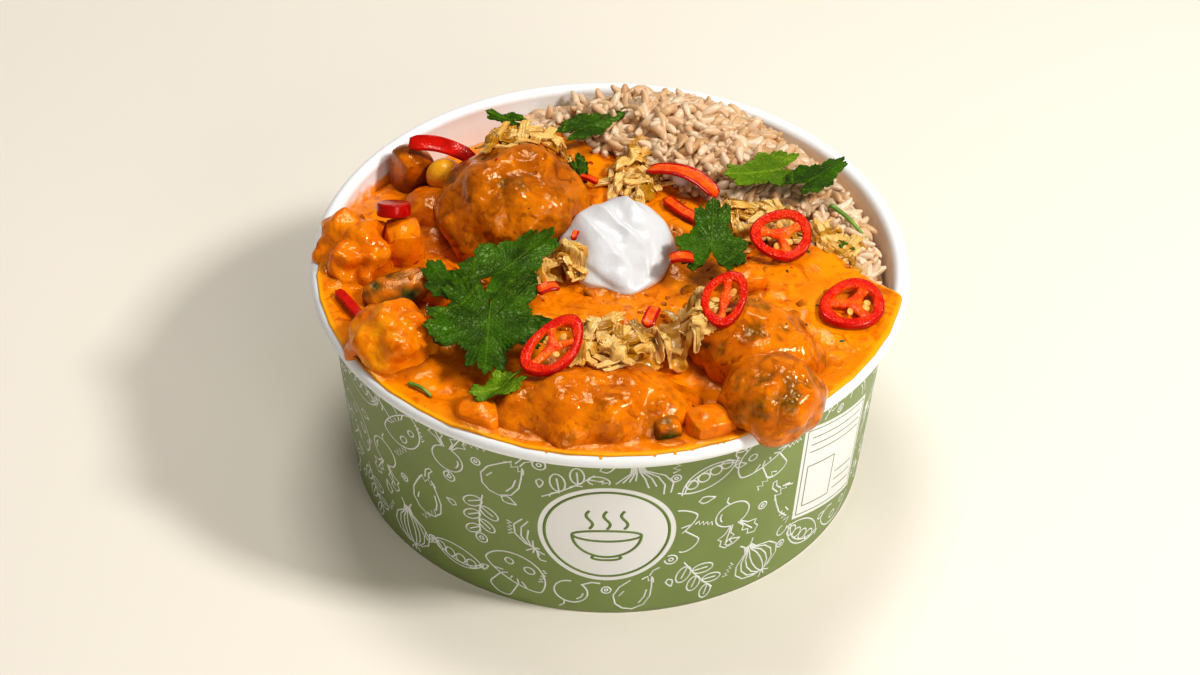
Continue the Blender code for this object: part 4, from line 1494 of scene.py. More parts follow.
@dataclass
class CurrySauce:
    """The sauce's top surface, finer than its solid and drawn up a little round the food.

    The skirt is the height that its edge goes down to, tuck and lap are how far the ring beside the edge
    is sunk and moved out, and the climb is how far the sauce rises against a piece of food.
    """

    columns: int = 420
    rings: int = 130
    crowding: float = 1.25
    level: float = 60.0
    skirt: float = 46.0
    tuck: float = 0.45
    lap: float = 0.35
    lumps: float = 1.9
    climb: float = 0.9
    # shade: how far the painted shade in the sauce reaches from the food, in millimetres
    shade: float = 1.3
    far: float = 4.0

    def build(self, food: BVHTree) -> Piece:
        """Build the sauce over its solid.

        Args:
            food: A search tree over the pieces that stand in the sauce.

        Returns:
            The sauce.
        """
        solid = tree_of(FRAME["nodes"]["sauce"])
        edges = [self.edge(solid, math.tau * step / self.columns) for step in range(self.columns)]
        shares = [1.0 - (step / self.rings) ** self.crowding for step in range(self.rings)]
        grid = new_primitive(
            "sauce_surface", bpy.ops.mesh.primitive_grid_add, x_subdivisions=self.columns,
            y_subdivisions=self.rings + 2, size=2.0,
        )
        flat = points_of(grid)
        column = np.rint((flat[:, 0] + 1.0) * 0.5 * self.columns).astype(int) % self.columns
        ring = np.rint((flat[:, 1] + 1.0) * 0.5 * (self.rings + 2)).astype(int)
        reach = np.array(edges)[column]
        turn = math.tau * column / self.columns
        share = np.array([0.0] + [1.0] * 2 + shares[1:] + [0.0])[np.clip(ring, 0, self.rings + 2)]
        out, inward = reach * share, reach - reach * share
        points = np.stack([out * np.cos(turn), out * np.sin(turn), np.zeros(len(reach))], 1)
        points[:, 2] = [level_at(solid, x, y, self.level) for x, y in points[:, :2].tolist()]
        inner = smooth_step(inward, 0.0, 3.0)
        lumps = np.clip(ripple(points, 7.5, 13.0) - 0.1, 0.0, 1.0) * smooth_step(inward, 2.0, 8.0)
        waves = 0.40 * ripple(points, 5.0, 11.0) + 0.18 * ripple(points, 2.0, 12.0)
        points[:, 2] += waves * inner + self.lumps * lumps
        clear = self.clearance(points, food)
        points[:, 2] += self.climb * np.exp(-clear / self.climb) * (clear < 3.0)
        points[ring == 1, 2] -= self.tuck
        points[ring == 1, :2] *= 1.0 + self.lap / np.maximum(reach[ring == 1, None], 1.0)
        points[ring == 0, 2] = self.skirt
        put_points(grid, points * MM)
        edge = 1.0 - smooth_step(inward, 0.2, 1.3)
        rim = smooth_step(np.hypot(points[:, 0], points[:, 1]), 66.0, 71.0)
        paint(grid, "thin", edge * rim)
        # painted shade: strongest beside the food, fading with the distance from it
        paint(grid, "painted_contact_shade", np.exp(-clear / self.shade) * (clear < 3.5))
        weld(grid, SURFACE_WELD)
        return seat(grid, SauceFinish(), ["sauce"])

    def edge(self, solid: BVHTree, turn: float) -> float:
        """Return how far out the solid's top reaches in a direction, in millimetres.

        Args:
            solid: A search tree over the solid.
            turn: The direction in radians.

        Returns:
            The reach.
        """
        low, high = 10.0, 76.0
        while high - low > 0.005:
            middle = 0.5 * (low + high)
            if landing(solid, middle * math.cos(turn), middle * math.sin(turn))[0] is None:
                high = middle
            else:
                low = middle
        return low

    def clearance(self, points: np.ndarray, food: BVHTree) -> np.ndarray:
        """Return how far each point lies from the food, up to what counts as far, in millimetres.

        Args:
            points: Rows of x, y and z, in millimetres.
            food: A search tree over the food.

        Returns:
            One distance for each point.
        """
        clear = np.full(len(points), self.far)
        for index, point in enumerate(points.tolist()):
            near = food.find_nearest(Vector(point) * MM, self.far * MM)
            if near[0] is not None:
                clear[index] = near[3] / MM
        return clear


# The koftas and the vegetables.


class Coat(Enum):
    """How a piece looks close to."""

    SAUCED = "smooth under sauce"
    BROWNED = "rough with browned patches"
    FLORET = "knobbly head"
    CUBE = "cut cube"
    ROUND = "smooth and round"


@dataclass(frozen=True)
class FoodPiece:
    """One piece of food: its solid's sizes, and how it is covered."""

    node: str
    centre: Point
    radii: Point
    slot: str
    coat: Coat
    turn: Point = (0.0, 0.0, 0.0)
    rough: float = 0.12
    size: float = 9.0
    seed: float = 0.0
    box: float = 0.0
    bare: float = 0.2
    detail: int = 6

    def build(self) -> Piece:
        """Build the piece, whole, so that it stands in the sauce.

        Returns:
            The piece.
        """
        made = new_ball(self.node + "_piece", self.detail)
        unit = points_of(made)
        radii = np.array(self.radii)
        square = unit / np.max(np.abs(unit), axis=1, keepdims=True) * 0.86
        points = unit + (square - unit) * self.box
        points *= (1.0 + self.rough * ripple(unit * radii, self.size, self.seed))[:, None]
        turned = turned_by(*(math.radians(angle) for angle in self.turn))
        points = (points * radii) @ turned.T + np.array(self.centre)
        put_points(made, points * MM)
        self.roughen(made)
        return made

    def roughen(self, made: Piece) -> None:
        """Raise the sauce's folds and sink the bare patches between them.

        Args:
            made: The smooth piece.
        """
        points, normals = points_of(made) / MM, normals_of(made)
        patches = ripple(points, 6.5, 20.0 + self.seed) + 0.45 * ripple(points, 2.6, 30.0 + self.seed)
        bare = smooth_step(patches, 0.45 - 1.3 * self.bare, 1.3 - 1.3 * self.bare)
        crumbs = ripple(points, 1.1, 40.0)
        move = -0.25 * bare + 0.3 * ripple(points, 5.0, 50.0 + self.seed)
        if self.coat is Coat.BROWNED:
            pits = smooth_step(ripple(points, 2.6, 66.0 + self.seed), 0.15, 0.5)
            move += bare * (0.22 * crumbs - 0.55 * pits) + 0.3 * ripple(points, 2.8, 55.0 + self.seed)
            bare = np.clip(bare + 0.5 * bare * pits, 0.0, 1.0)
        elif self.coat is Coat.FLORET:
            move += 0.9 * self.knobs(points, 3.8) + 0.12 * self.knobs(points, 1.6)
        elif self.coat is Coat.SAUCED:
            move += 0.10 * crumbs * (0.4 + bare) + 0.28 * ripple(points, 2.3, 60.0 + self.seed)
        elif self.coat is Coat.ROUND:
            move *= 0.3
        else:
            move *= 0.6
        paint(made, "bare", bare)
        # painted shade mask: 1 low on the piece near the sauce line, 0 above it
        paint(made, "low", 1.0 - smooth_step(points[:, 2], 56.6, 60.2))
        put_points(made, (points + normals * move[:, None]) * MM)

    def knobs(self, points: np.ndarray, size: float) -> np.ndarray:
        """Return rounded knobs from about -0.5 to 0.5 over a surface."""
        rows = (points / size + self.seed).tolist()
        return 0.5 - np.array([noise.voronoi(row)[0][0] for row in rows])

    def finish(self) -> Finish:
        """Return the finish that suits the piece."""
        return FINISHES.get(self.node, FINISHES[self.slot])


CLEAR = SauceFinish("clear_sauce", (0.87, 0.245, 0.0005), (0.74, 0.165, 0.0005), (0.46, 0.080, 0.0005))
BROWN = SauceFinish("brown_sauce", (0.76, 0.205, 0.0005), (0.60, 0.140, 0.0005), (0.30, 0.060, 0.0005))
# painted shade: a darker copy of the kofta sauce, for the back kofta, which the lamps light more than the
# others
SHADED_SAUCE = SauceFinish("shaded_sauce", (0.64, 0.175, 0.0005), (0.46, 0.112, 0.0005), (0.18, 0.040, 0.0005))
FINISHES: dict[str, Finish] = {
    "sauced_kofta": CoatedFinish("sauced_kofta", (0.31, 0.115, 0.002), (0.11, 0.042, 0.001), BROWN),
    # the back kofta wears the darker, painted-shade copy of the kofta finish
    "kofta_back": CoatedFinish("shaded_sauced_kofta", (0.30, 0.115, 0.002), (0.12, 0.050, 0.001), SHADED_SAUCE,
                               stained=0.55),
    "sauced_vegetable": CoatedFinish("sauced_vegetable", (0.86, 0.34, 0.004), (0.80, 0.23, 0.002), CLEAR,
                                     0.15),
    "browned_wedge": CoatedFinish("browned_wedge", (0.34, 0.085, 0.002), (0.17, 0.040, 0.001), BROWN, 0.2),
    "chickpea": CoatedFinish("glazed_chickpea", (0.86, 0.38, 0.012), (0.90, 0.45, 0.03), CLEAR, 0.06,
                             stained=0.1),
    "squash": CoatedFinish("cooked_squash", (0.88, 0.235, 0.001), (0.78, 0.150, 0.001), CLEAR, 0.12),
    "green_skin": CoatedFinish("green_skin", (0.045, 0.070, 0.003), (0.012, 0.014, 0.002), BROWN, 0.12, 0.14),
}


def food_pieces() -> list[FoodPiece]:
    """Return the koftas and the vegetables.

    Returns:
        The pieces, in the order that they are built.
    """
    kofta, vegetable, squash, skin = "sauced_kofta", "sauced_vegetable", "squash", "green_skin"
    return [
        FoodPiece("kofta_back", (-24.5, 15.5, 60.0), (19.5, 18.5, 18.2), kofta, Coat.SAUCED,
                  rough=0.14, size=8.0, seed=1.0, bare=0.12, detail=7),
        FoodPiece("kofta_front", (-3.5, -57.5, 58.0), (25.0, 13.5, 11.5), kofta, Coat.SAUCED, (0, 0, 2),
                  0.16, 8.0, 2.0, bare=0.16, detail=7),
        FoodPiece("kofta_end", (38.5, -57.5, 64.0), (12.6, 11.6, 9.8), kofta, Coat.BROWNED,
                  rough=0.14, size=6.0, seed=3.0, bare=0.54, detail=7),
        FoodPiece("kofta_right", (35.0, -38.0, 62.5), (16.5, 13.0, 10.5), kofta, Coat.BROWNED, (0, 8, -25),
                  0.16, 8.0, 4.0, bare=0.38, detail=7),
        FoodPiece("cauliflower_left", (-63.5, -0.5, 60.0), (9.5, 11.5, 9.5), vegetable, Coat.FLORET,
                  rough=0.35, size=5.0, seed=5.0, bare=0.2),
        FoodPiece("cauliflower_front", (-52.5, -36.0, 61.0), (11.2, 10.8, 10.4), vegetable, Coat.SAUCED,
                  rough=0.2, size=6.0, seed=6.0, bare=0.5),
        FoodPiece("potato_cube", (-51.8, 1.5, 61.0), (5.6, 6.0, 8.0), vegetable, Coat.CUBE,
                  (0, 0, 10), 0.06, seed=7.0, box=0.4, bare=0.2),
        FoodPiece("vegetable_left", (-44.0, -11.5, 59.5), (7.5, 8.0, 6.0), vegetable, Coat.SAUCED,
                  rough=0.15, seed=8.0, bare=0.15),
        FoodPiece("aubergine_wedge", (-52.0, 36.0, 55.0), (5.6, 6.0, 11.0), "browned_wedge", Coat.CUBE,
                  (0, 6, 30), 0.12, seed=9.0, box=0.4, bare=0.6),
        FoodPiece("chickpea", (-43.0, 31.0, 60.6), (4.8, 4.6, 4.6), "chickpea", Coat.ROUND,
                  rough=0.04, seed=10.0, bare=0.8, detail=5),
        FoodPiece("vegetable_back", (-46.0, 21.0, 54.5), (8.0, 9.5, 7.5), vegetable, Coat.SAUCED,
                  (0, 0, 20), 0.12, seed=11.0, bare=0.1),
        FoodPiece("courgette_slice", (-52.0, -17.0, 62.0), (9.6, 5.4, 2.3), skin, Coat.CUBE,
                  (18, -8, 22), 0.05, seed=12.0, box=0.25, bare=0.7),
        FoodPiece("squash_cube_front", (24.0, -63.0, 59.5), (6.6, 5.4, 5.4), squash, Coat.CUBE,
                  (0, 0, 25), 0.10, 6.0, 13.0, 0.34, 0.5),
        FoodPiece("squash_cube_left", (-30.5, -60.5, 59.0), (6.4, 5.2, 4.8), squash, Coat.CUBE,
                  (0, 0, -20), 0.14, 6.0, 14.0, 0.25, 0.4),
        FoodPiece("squash_cube_centre", (33.5, -14.0, 64.5), (5.4, 4.4, 3.6), squash, Coat.CUBE,
                  (0, 0, 10), 0.10, 6.0, 15.0, 0.3, 0.4, 5),
        FoodPiece("squash_drop", (-20.5, -13.0, 62.0), (4.6, 3.8, 3.8), squash, Coat.ROUND,
                  rough=0.06, seed=16.0, bare=0.5, detail=5),
        FoodPiece("aubergine_skin", (13.8, -65.5, 60.5), (3.8, 3.4, 4.2), skin, Coat.CUBE,
                  (0, 0, 15), 0.1, seed=17.0, box=0.3, bare=0.8, detail=5),
    ]


@dataclass
class Yoghurt:
    """The spoonful of yoghurt, folded and higher at the back, and its splash."""

    centre: Point = (2.2, -0.5, 61.5)
    radii: Point = (14.2, 16.0, 8.6)

    def build(self) -> None:
        """Build the spoonful and the splash."""
        made = new_ball("yoghurt_spoonful", 7)
        unit = points_of(made)
        x, y, z = unit.T
        fold = 0.10 * np.sin(5.0 * x + 2.0 * y) * np.maximum(0.0, y + 0.2)
        swell = 1.0 + 0.16 * ripple(unit * 1.6 + np.array([2.0, 1.0, 0.0]), 1.0)
        lift = (0.55 * y + fold) * np.maximum(0.0, z)
        narrow = 1.0 - 0.22 * np.maximum(0.0, -y)
        points = np.stack([self.centre[0] + self.radii[0] * x * swell * narrow,
                           self.centre[1] + self.radii[1] * y * swell,
                           self.centre[2] + self.radii[2] * (z * swell + lift)], 1)
        drift = 3.0 * ripple(points, 9.0, 3.0)
        pleat = ((points[:, 0] * 0.86 + points[:, 1] * 0.50 + drift) / 6.2 + 0.35) % 1.0
        crest = np.where(pleat < 0.72, (pleat / 0.72) ** 1.6, 1.0 - smooth_step(pleat, 0.72, 1.0))
        upper = (0.35 + 0.65 * smooth_step(points[:, 1], -9.0, 8.0)) * np.maximum(0.0, z) ** 0.6
        points[:, 2] += (1.5 * crest - 0.8) * upper * (0.55 + 0.45 * np.sin(0.3 * points[:, 0] + 1.0))
        points[:, 1] += 0.9 * (crest - 0.4) * smooth_step(y, 0.55, 0.95)
        points[:, 2] += 0.45 * ripple(points, 4.0, 5.0) * np.maximum(0.0, z)
        put_points(made, points * MM)
        paint(made, "thin", (1.0 - smooth_step(points[:, 2], 60.3, 62.4)) * 0.8)
        seat(made, YoghurtFinish(), ["yoghurt"])
        splash = FoodPiece("yoghurt_splash", (18.3, 29.0, 62.5), (2.6, 1.8, 2.4), "yoghurt", Coat.ROUND,
                           seed=18.0, bare=0.0, detail=5).build()
        paint(splash, "thin", np.zeros(len(splash.data.vertices)))
        seat(splash, YoghurtFinish(), ["yoghurt_splash"])


# The rice.


@dataclass
class RiceHeap:
    """The heap of brown rice: a core, and grains in layers over it.

    Grains lie past a line that faces the koftas, ragged by some millimetres. Each layer gives its number
    of grains, how high they lie and how far they lean.
    """

    facing: Spot = (0.6253, 0.7804)
    line: float = 34.0
    length: float = 7.8
    width: float = 2.8
    span_x: Spot = (-40.0, 70.0)
    span_y: Spot = (-34.0, 70.0)
    ragged: float = 2.5
    spread: float = 66.2
    reach: float = 69.8
    level: float = 58.0
    hidden: float = 50.0
    voxel: float = 1.3
    uneven: float = 0.24
    layers: tuple[tuple[int, float, float], ...] = ((400, -0.4, 0.2), (350, 0.15, 0.32), (170, 0.7, 0.5))

    def grain(self) -> tuple[np.ndarray, Faces]:
        """Return one slightly bent grain's points, in millimetres, and its faces.

        Returns:
            The points and the faces.
        """
        add = bpy.ops.mesh.primitive_uv_sphere_add
        points, faces = taken_apart(new_primitive("grain", add, segments=10, ring_count=8, radius=1.0))
        points = points[:, [2, 0, 1]]
        points = np.sign(points) * np.abs(points) ** 0.78
        points *= np.array([0.5 * self.length, 0.5 * self.width, 0.42 * self.width])
        blunt = 1.0 - 0.12 * np.abs(points[:, 0]) / (0.5 * self.length)
        points[:, 1:] *= blunt[:, None]
        points[:, 1] += 0.10 * points[:, 0] ** 2 - 0.5
        return points, faces

    def build(self, rng: random.Random) -> None:
        """Build the core and the grains.

        Args:
            rng: The random numbers that place the grains.
        """
        solid = tree_of(FRAME["nodes"]["rice"])
        core = copied("rice_core", "rice")
        use_modifier(core, "REMESH", mode="VOXEL", voxel_size=self.voxel * MM)
        points, normals = points_of(core) / MM, normals_of(core)
        low = points[:, 2] < self.hidden
        points += normals * (-0.2 + 0.3 * ripple(points, 3.0, 2.0))[:, None] * (~low)[:, None]
        put_points(core, points * MM)
        paint(core, "tone", np.full(len(points), 0.6))
        seat(core, RiceFinish(), ["rice"])
        base, faces = self.grain()
        rows, groups, tones = [], [], []
        for count, lift, lean in self.layers:
            placed = 0
            while placed < count:
                x, y = rng.uniform(*self.span_x), rng.uniform(*self.span_y)
                past = x * self.facing[0] + y * self.facing[1] - self.line
                if past < rng.uniform(-self.ragged, self.ragged) or math.hypot(x, y) > self.spread:
                    continue
                size = rng.uniform(0.6, 1.2)
                turned = turned_by(
                    z=rng.uniform(0.0, math.tau), y=rng.gauss(0.0, lean), x=rng.uniform(0.0, math.tau)
                )
                place = np.array([x, y, level_at(solid, x, y, self.level) + lift])
                grain = (base * np.array([size, rng.uniform(0.75, 1.1), 1.0])) @ turned.T + place
                if (np.hypot(grain[:, 0], grain[:, 1]) > self.reach).any():
                    continue
                start = len(rows) * len(base)
                rows.append(grain)
                groups += [tuple(start + corner for corner in face) for face in faces]
                tones.append(np.full(len(base), rng.random()))
                placed += 1
        points = np.concatenate(rows)
        points += self.uneven * tossed(points, 2.2, (4.0, 5.0, 6.0))
        grains = new_mesh("rice_grains", points, groups)
        paint(grains, "tone", np.concatenate(tones))
        seat(grains, RiceFinish(), ["rice"])


# The onion.


@dataclass(frozen=True)
class OnionShreds:
    """One tangle of soft onion: pulp, with ragged sheets of shreds that drape over it."""

    node: str
    count: int
    margin: float = 1.5
    lowest: float = 50.0
    voxel: float = 0.45
    thickness: float = 0.5
    strand: float = 0.85
    uneven: float = 0.34

    def build(self, rng: random.Random, ground: BVHTree) -> Piece:
        """Build the pulp and its shreds as one piece, draped over the ground beside it.

        Args:
            rng: The random numbers that lay the shreds.
            ground: A search tree over the food beside the tangle.

        Returns:
            The tangle.
        """
        solid = tree_of(FRAME["nodes"][self.node])
        pulp = copied(self.node + "_pulp", self.node)
        use_modifier(pulp, "REMESH", mode="VOXEL", voxel_size=self.voxel * MM)
        use_modifier(pulp, "SMOOTH", factor=0.5, iterations=7)
        points, normals = points_of(pulp) / MM, normals_of(pulp)
        points += normals * (0.4 * ripple(points, 2.2, 4.0) + 0.12 * ripple(points, 0.9, 5.0) - 0.55)[:, None]
        put_points(pulp, points * MM)
        paint(pulp, "tone", 0.5 + 0.5 * ripple(points, 3.0, 6.0))
        shreds = self.shreds(solid, ground, rng)
        whole = joined(self.node + "_shreds", [pulp, shreds])
        return seat(whole, OnionFinish(), [self.node], CREASE)

    def shreds(self, solid: BVHTree, ground: BVHTree, rng: random.Random) -> Piece:
        """Return ragged sheets of stranded onion that lie over the solid's top.

        Args:
            solid: A search tree over the solid.
            ground: A search tree over the food around it.
            rng: The random numbers that place them.

        Returns:
            The sheets, as one object.
        """
        low, high = (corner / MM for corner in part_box(self.node))
        sheet = new_primitive(
            "sheet", bpy.ops.mesh.primitive_grid_add, x_subdivisions=22, y_subdivisions=14, size=1.0
        )
        grid, corners = taken_apart(sheet)
        flat = grid[:, :2]
        main_way = rng.uniform(0.0, math.pi)
        rows, faces, tones = [], [], []
        while len(rows) < self.count:
            x = rng.uniform(low.x - self.margin, high.x + self.margin)
            y = rng.uniform(low.y - self.margin, high.y + self.margin)
            away = solid.find_nearest(Vector((x * MM, y * MM, high.z * MM)))[0]
            if math.hypot(away.x / MM - x, away.y / MM - y) > self.margin:
                continue
            heading = main_way + rng.gauss(0.0, 0.9)
            length, wide = rng.uniform(4.5, 10.5), rng.uniform(1.2, 3.2)
            seed, lift, curl = rng.uniform(0.0, 90.0), rng.uniform(0.0, 0.6), rng.uniform(-0.3, 1.6)
            across = np.stack([flat[:, 1] * 6.0, np.full(len(flat), seed), np.zeros(len(flat))], 1)
            u = flat[:, 0] * (1.0 - 0.45 * np.clip(ripple(across, 1.0, seed), 0.0, 1.0))
            v = flat[:, 1] * (1.0 - 0.9 * u ** 2) + 0.35 * np.sin(2.6 * u + seed)
            strand = np.abs(np.sin(math.pi * (flat[:, 1] * wide / self.strand + 0.5)))
            spot_x = x + length * u * math.cos(heading) - wide * v * math.sin(heading)
            spot_y = y + length * u * math.sin(heading) + wide * v * math.cos(heading)
            under = np.full(len(flat), self.lowest)
            for index, (one, other) in enumerate(zip(spot_x.tolist(), spot_y.tolist())):
                for tree in (solid, ground):
                    hit = landing(tree, one, other)[0]
                    if hit is not None:
                        under[index] = max(under[index], hit.z / MM)
            under = 0.5 * under + 0.5 * under.mean() + 0.2
            height = under + lift + curl * (u + 0.5) ** 2 + 0.16 * strand
            points = np.stack([spot_x, spot_y, height], 1)
            points += self.uneven * tossed(points, 2.4, (seed + 1.0, seed + 2.0, seed + 3.0))
            first = len(rows) * len(flat)
            rows.append(points)
            faces += [tuple(first + corner for corner in face) for face in corners]
            tones.append(np.clip(rng.random() + 0.15 * strand + 0.25 * ripple(points, 1.8, seed), 0.0, 1.0))
        sheets = new_mesh("sheets", np.concatenate(rows), faces)
        paint(sheets, "tone", np.concatenate(tones))
        use_modifier(sheets, "SOLIDIFY", thickness=self.thickness * MM, offset=0.0)
        use_modifier(sheets, "SMOOTH", factor=0.5, iterations=1)
        return sheets


# The chilli.


@dataclass(frozen=True)
class ChilliRing:
    """A slice across a chilli: glossy skin, wet flesh, ribs that meet in a core, and seeds."""

    node: str
    size: Spot
    facing: Point
    spokes: int
    turn: float
    thickness: float = 1.8
    sectors: int = 16
    seed_count: int = 4
    voxel: float = 0.16

    def wobble(self, angle: np.ndarray, share: np.ndarray) -> np.ndarray:
        """Return how the outline's reach varies round the ring."""
        return 1.0 + 0.05 * np.sin(3.0 * angle + self.turn) * share

    def spot(self, reach: Floats, angle: Floats) -> tuple[Floats, Floats]:
        """Return x and y at a share of the slice's reach in a direction, in millimetres."""
        return 0.5 * self.size[0] * reach * np.cos(angle), 0.5 * self.size[1] * reach * np.sin(angle)

    def placing(self) -> tuple[np.ndarray, np.ndarray]:
        """Return the ring's turn as a matrix and its centre, in millimetres, from the node's box.

        Returns:
            The matrix and the centre.
        """
        aim = np.array(Vector(self.facing).normalized().to_track_quat("Z", "Y").to_matrix())
        angle = math.tau * np.arange(self.sectors) / self.sectors
        reach = self.wobble(angle, np.ones(self.sectors))
        ring = np.stack([*self.spot(reach, angle), np.zeros(self.sectors)], 1)
        both = np.concatenate([ring, ring + np.array([0.0, 0.0, self.thickness])]) @ aim.T
        low, high = box_of(self.node)
        return aim, 0.5 * (low + high) - 0.5 * (both.min(0) + both.max(0))

    def build(self, rng: random.Random) -> Piece:
        """Build the slice as one piece with three finishes.

        Args:
            rng: The random numbers for its ribs and seeds.

        Returns:
            The slice.
        """
        aim, centre = self.placing()
        parts = [self.band(), self.ribs(rng)] + self.seeds(rng)
        for index, part in enumerate(parts):
            put_points(part, (points_of(part) @ aim.T + centre) * MM)
            for kind in (CHILLI_SKIN, CHILLI_FLESH, CHILLI_SEED, CHILLI_CUT):
                part.data.materials.append(dress(kind))
            if index:
                for face in part.data.polygons:
                    face.material_index = min(index, 2)
        return fasten(joined(self.node + "_slice", parts), [self.node])

    def band(self) -> Piece:
        """Return the ring of skin and flesh, rounded at its cut edges.

        Returns:
            The ring, about its own axis, in millimetres.
        """
        band = new_primitive(
            "band", bpy.ops.mesh.primitive_torus_add, major_segments=96, minor_segments=20,
            major_radius=1.0, minor_radius=0.25,
        )
        points = points_of(band)
        angle = np.arctan2(points[:, 1], points[:, 0])
        out, up = (np.hypot(points[:, 0], points[:, 1]) - 1.0) / 0.25, points[:, 2] / 0.25
        square = np.maximum(np.abs(out), np.abs(up)) ** 0.8
        out, up = out / square * 0.96, up / square * 0.96
        share = 0.835 + 0.165 * out - 0.02 * (1.0 + np.sin(5.0 * angle + self.turn)) * (out < 0.0)
        reach = self.wobble(angle, share) * share
        lift = 0.5 * self.thickness * (1.0 + up)
        put_points(band, np.stack([*self.spot(reach, angle), lift], 1))
        for face in band.data.polygons:
            corners = list(face.vertices)
            if up[corners].mean() > 0.55 and out[corners].mean() < 0.72:
                face.material_index = 3
            elif out[corners].mean() < -0.5:
                face.material_index = 1
        return band

    def ribs(self, rng: random.Random) -> Piece:
        """Return the ribs and their core, as one mesh of overlapping swellings.

        Args:
            rng: The random numbers that vary them.

        Returns:
            The ribs.
        """
        knots = [(0.0, 0.0, 0.25)]
        for spoke in range(self.spokes):
            sector = round(self.sectors * (self.turn / 360.0 + spoke / self.spokes)) % self.sectors
            angle = math.tau * (sector + 0.5) / self.sectors
            for share in np.linspace(0.12, 0.78, 7):
                wide = 0.16 + 0.07 * abs(share - 0.45) / 0.35 + rng.uniform(-0.02, 0.02)
                knots.append((share * math.cos(angle), share * math.sin(angle), wide))
        balls = []
        for x, y, wide in knots:
            ball = new_ball("knot", 3)
            spot = np.array([0.5 * self.size[0] * x, 0.5 * self.size[1] * y, 0.5 * self.thickness])
            reach = 0.5 * min(self.size) * wide
            put_points(ball, points_of(ball) * np.array([reach, reach, 0.42 * self.thickness]) + spot)
            balls.append(ball)
        ribs = joined("ribs", balls)
        use_modifier(ribs, "REMESH", mode="VOXEL", voxel_size=self.voxel)
        points, normals = points_of(ribs), normals_of(ribs)
        put_points(ribs, points + normals * (0.09 * ripple(points, 0.8, 3.0))[:, None])
        return ribs

    def seeds(self, rng: random.Random) -> list[Piece]:
        """Return a few flat round seeds beside the core.

        Args:
            rng: The random numbers that place them.

        Returns:
            The seeds.
        """
        made = []
        for index in range(self.seed_count):
            seed = new_ball("seed", 3)
            angle, share = rng.uniform(0.0, math.tau), rng.uniform(0.3, 0.5)
            spot = np.array([*self.spot(share, angle), 0.35 + 0.25 * index])
            tip = np.array(Matrix.Rotation(rng.uniform(-0.5, 0.5), 3, "X") @ Matrix.Rotation(angle, 3, "Z"))
            points = points_of(seed) * np.array([1.05, 0.85, 0.3])
            put_points(seed, points @ tip.T + spot)
            made.append(seed)
        return made


CHILLI_SKIN = ChilliFinish("chilli_skin", (0.52, 0.003, 0.0005), (0.36, 0.0015, 0.0005), 0.12, 0.04)
CHILLI_FLESH = ChilliFinish("chilli_flesh", (0.90, 0.145, 0.001), (0.80, 0.060, 0.001), 0.16, 0.14)
CHILLI_SEED = ChilliFinish("chilli_seed", (0.84, 0.50, 0.14), (0.74, 0.36, 0.07), 0.25, 0.03)
CHILLI_CUT = ChilliFinish("chilli_cut_face", (0.66, 0.006, 0.0005), (0.80, 0.036, 0.0005), 0.12, 0.30)


@dataclass(frozen=True)
class ChilliStrip:
    """A curved strip of chilli or pepper that lies on the food."""

    node: str
    start: Spot
    end: Spot
    rise: float
    width: float
    thickness: float = 1.3
    deep: bool = False
    facing: Point = (0.0, 0.0, 1.0)
    drop: float = 0.0
    bow: float = 0.0
    rounding: float = 0.65

    def build(self) -> Piece:
        """Build the strip from a cube, bent along its path, skin outside and flesh inside.

        Returns:
            The strip.
        """
        strip = new_primitive(self.node + "_strip", bpy.ops.mesh.primitive_cube_add, size=1.0)
        bpy.ops.object.mode_set(mode="EDIT")
        bpy.ops.mesh.select_all(action="SELECT")
        bpy.ops.mesh.subdivide(number_cuts=18)
        bpy.ops.object.mode_set(mode="OBJECT")
        box = points_of(strip) * 2.0
        inner = np.maximum(np.abs(box), 1e-6)
        across = np.sqrt(box[:, 1] ** 2 + box[:, 2] ** 2)
        round_off = np.maximum(inner[:, 1], inner[:, 2]) / np.maximum(across, 1e-6)
        box[:, 1:] *= (1.0 - self.rounding + self.rounding * round_off)[:, None]
        ends = 1.0 - 0.35 * smooth_step(np.abs(box[:, 0]), 0.8, 1.0)
        share = (box[:, 0] + 1.0) * 0.5
        along = np.array([self.end[0] - self.start[0], self.end[1] - self.start[1]])
        length = float(np.hypot(*along))
        low, high = box_of(self.node)
        up = np.array(Vector(self.facing).normalized())
        side = np.cross(up, np.array([along[0], along[1], 0.0]) / length)
        spine = np.array([*self.start, 0.0]) + share[:, None] * np.array([*along, self.drop])
        spine[:, 2] += self.rise * np.sin(math.pi * share)
        spine += (self.bow * np.sin(math.pi * share))[:, None] * side
        dip = 0.12 * self.width * (1.0 - box[:, 1] ** 2)
        points = spine + (box[:, 1] * ends * 0.5 * self.width)[:, None] * side
        points += (box[:, 2] * ends * 0.5 * self.thickness - dip)[:, None] * up
        middle = 0.5 * (points.min(0) + points.max(0))
        points += 0.5 * (low + high) - middle
        points += 0.1 * tossed(points, 2.5, (1.0, 2.0, 3.0))
        put_points(strip, points * MM)
        for finish in (PEPPER_SKIN if self.deep else CHILLI_SKIN, CHILLI_FLESH):
            strip.data.materials.append(dress(finish))
        for face in strip.data.polygons:
            corners = box[list(face.vertices)]
            if corners[:, 2].min() > 0.35 and np.abs(corners[:, 1]).max() < 0.62 and not self.deep:
                face.material_index = 1
        return fasten(strip, [self.node])


PEPPER_SKIN = ChilliFinish("pepper_skin", (0.64, 0.008, 0.001), (0.46, 0.004, 0.001), 0.14, 0.05)


# The coriander.


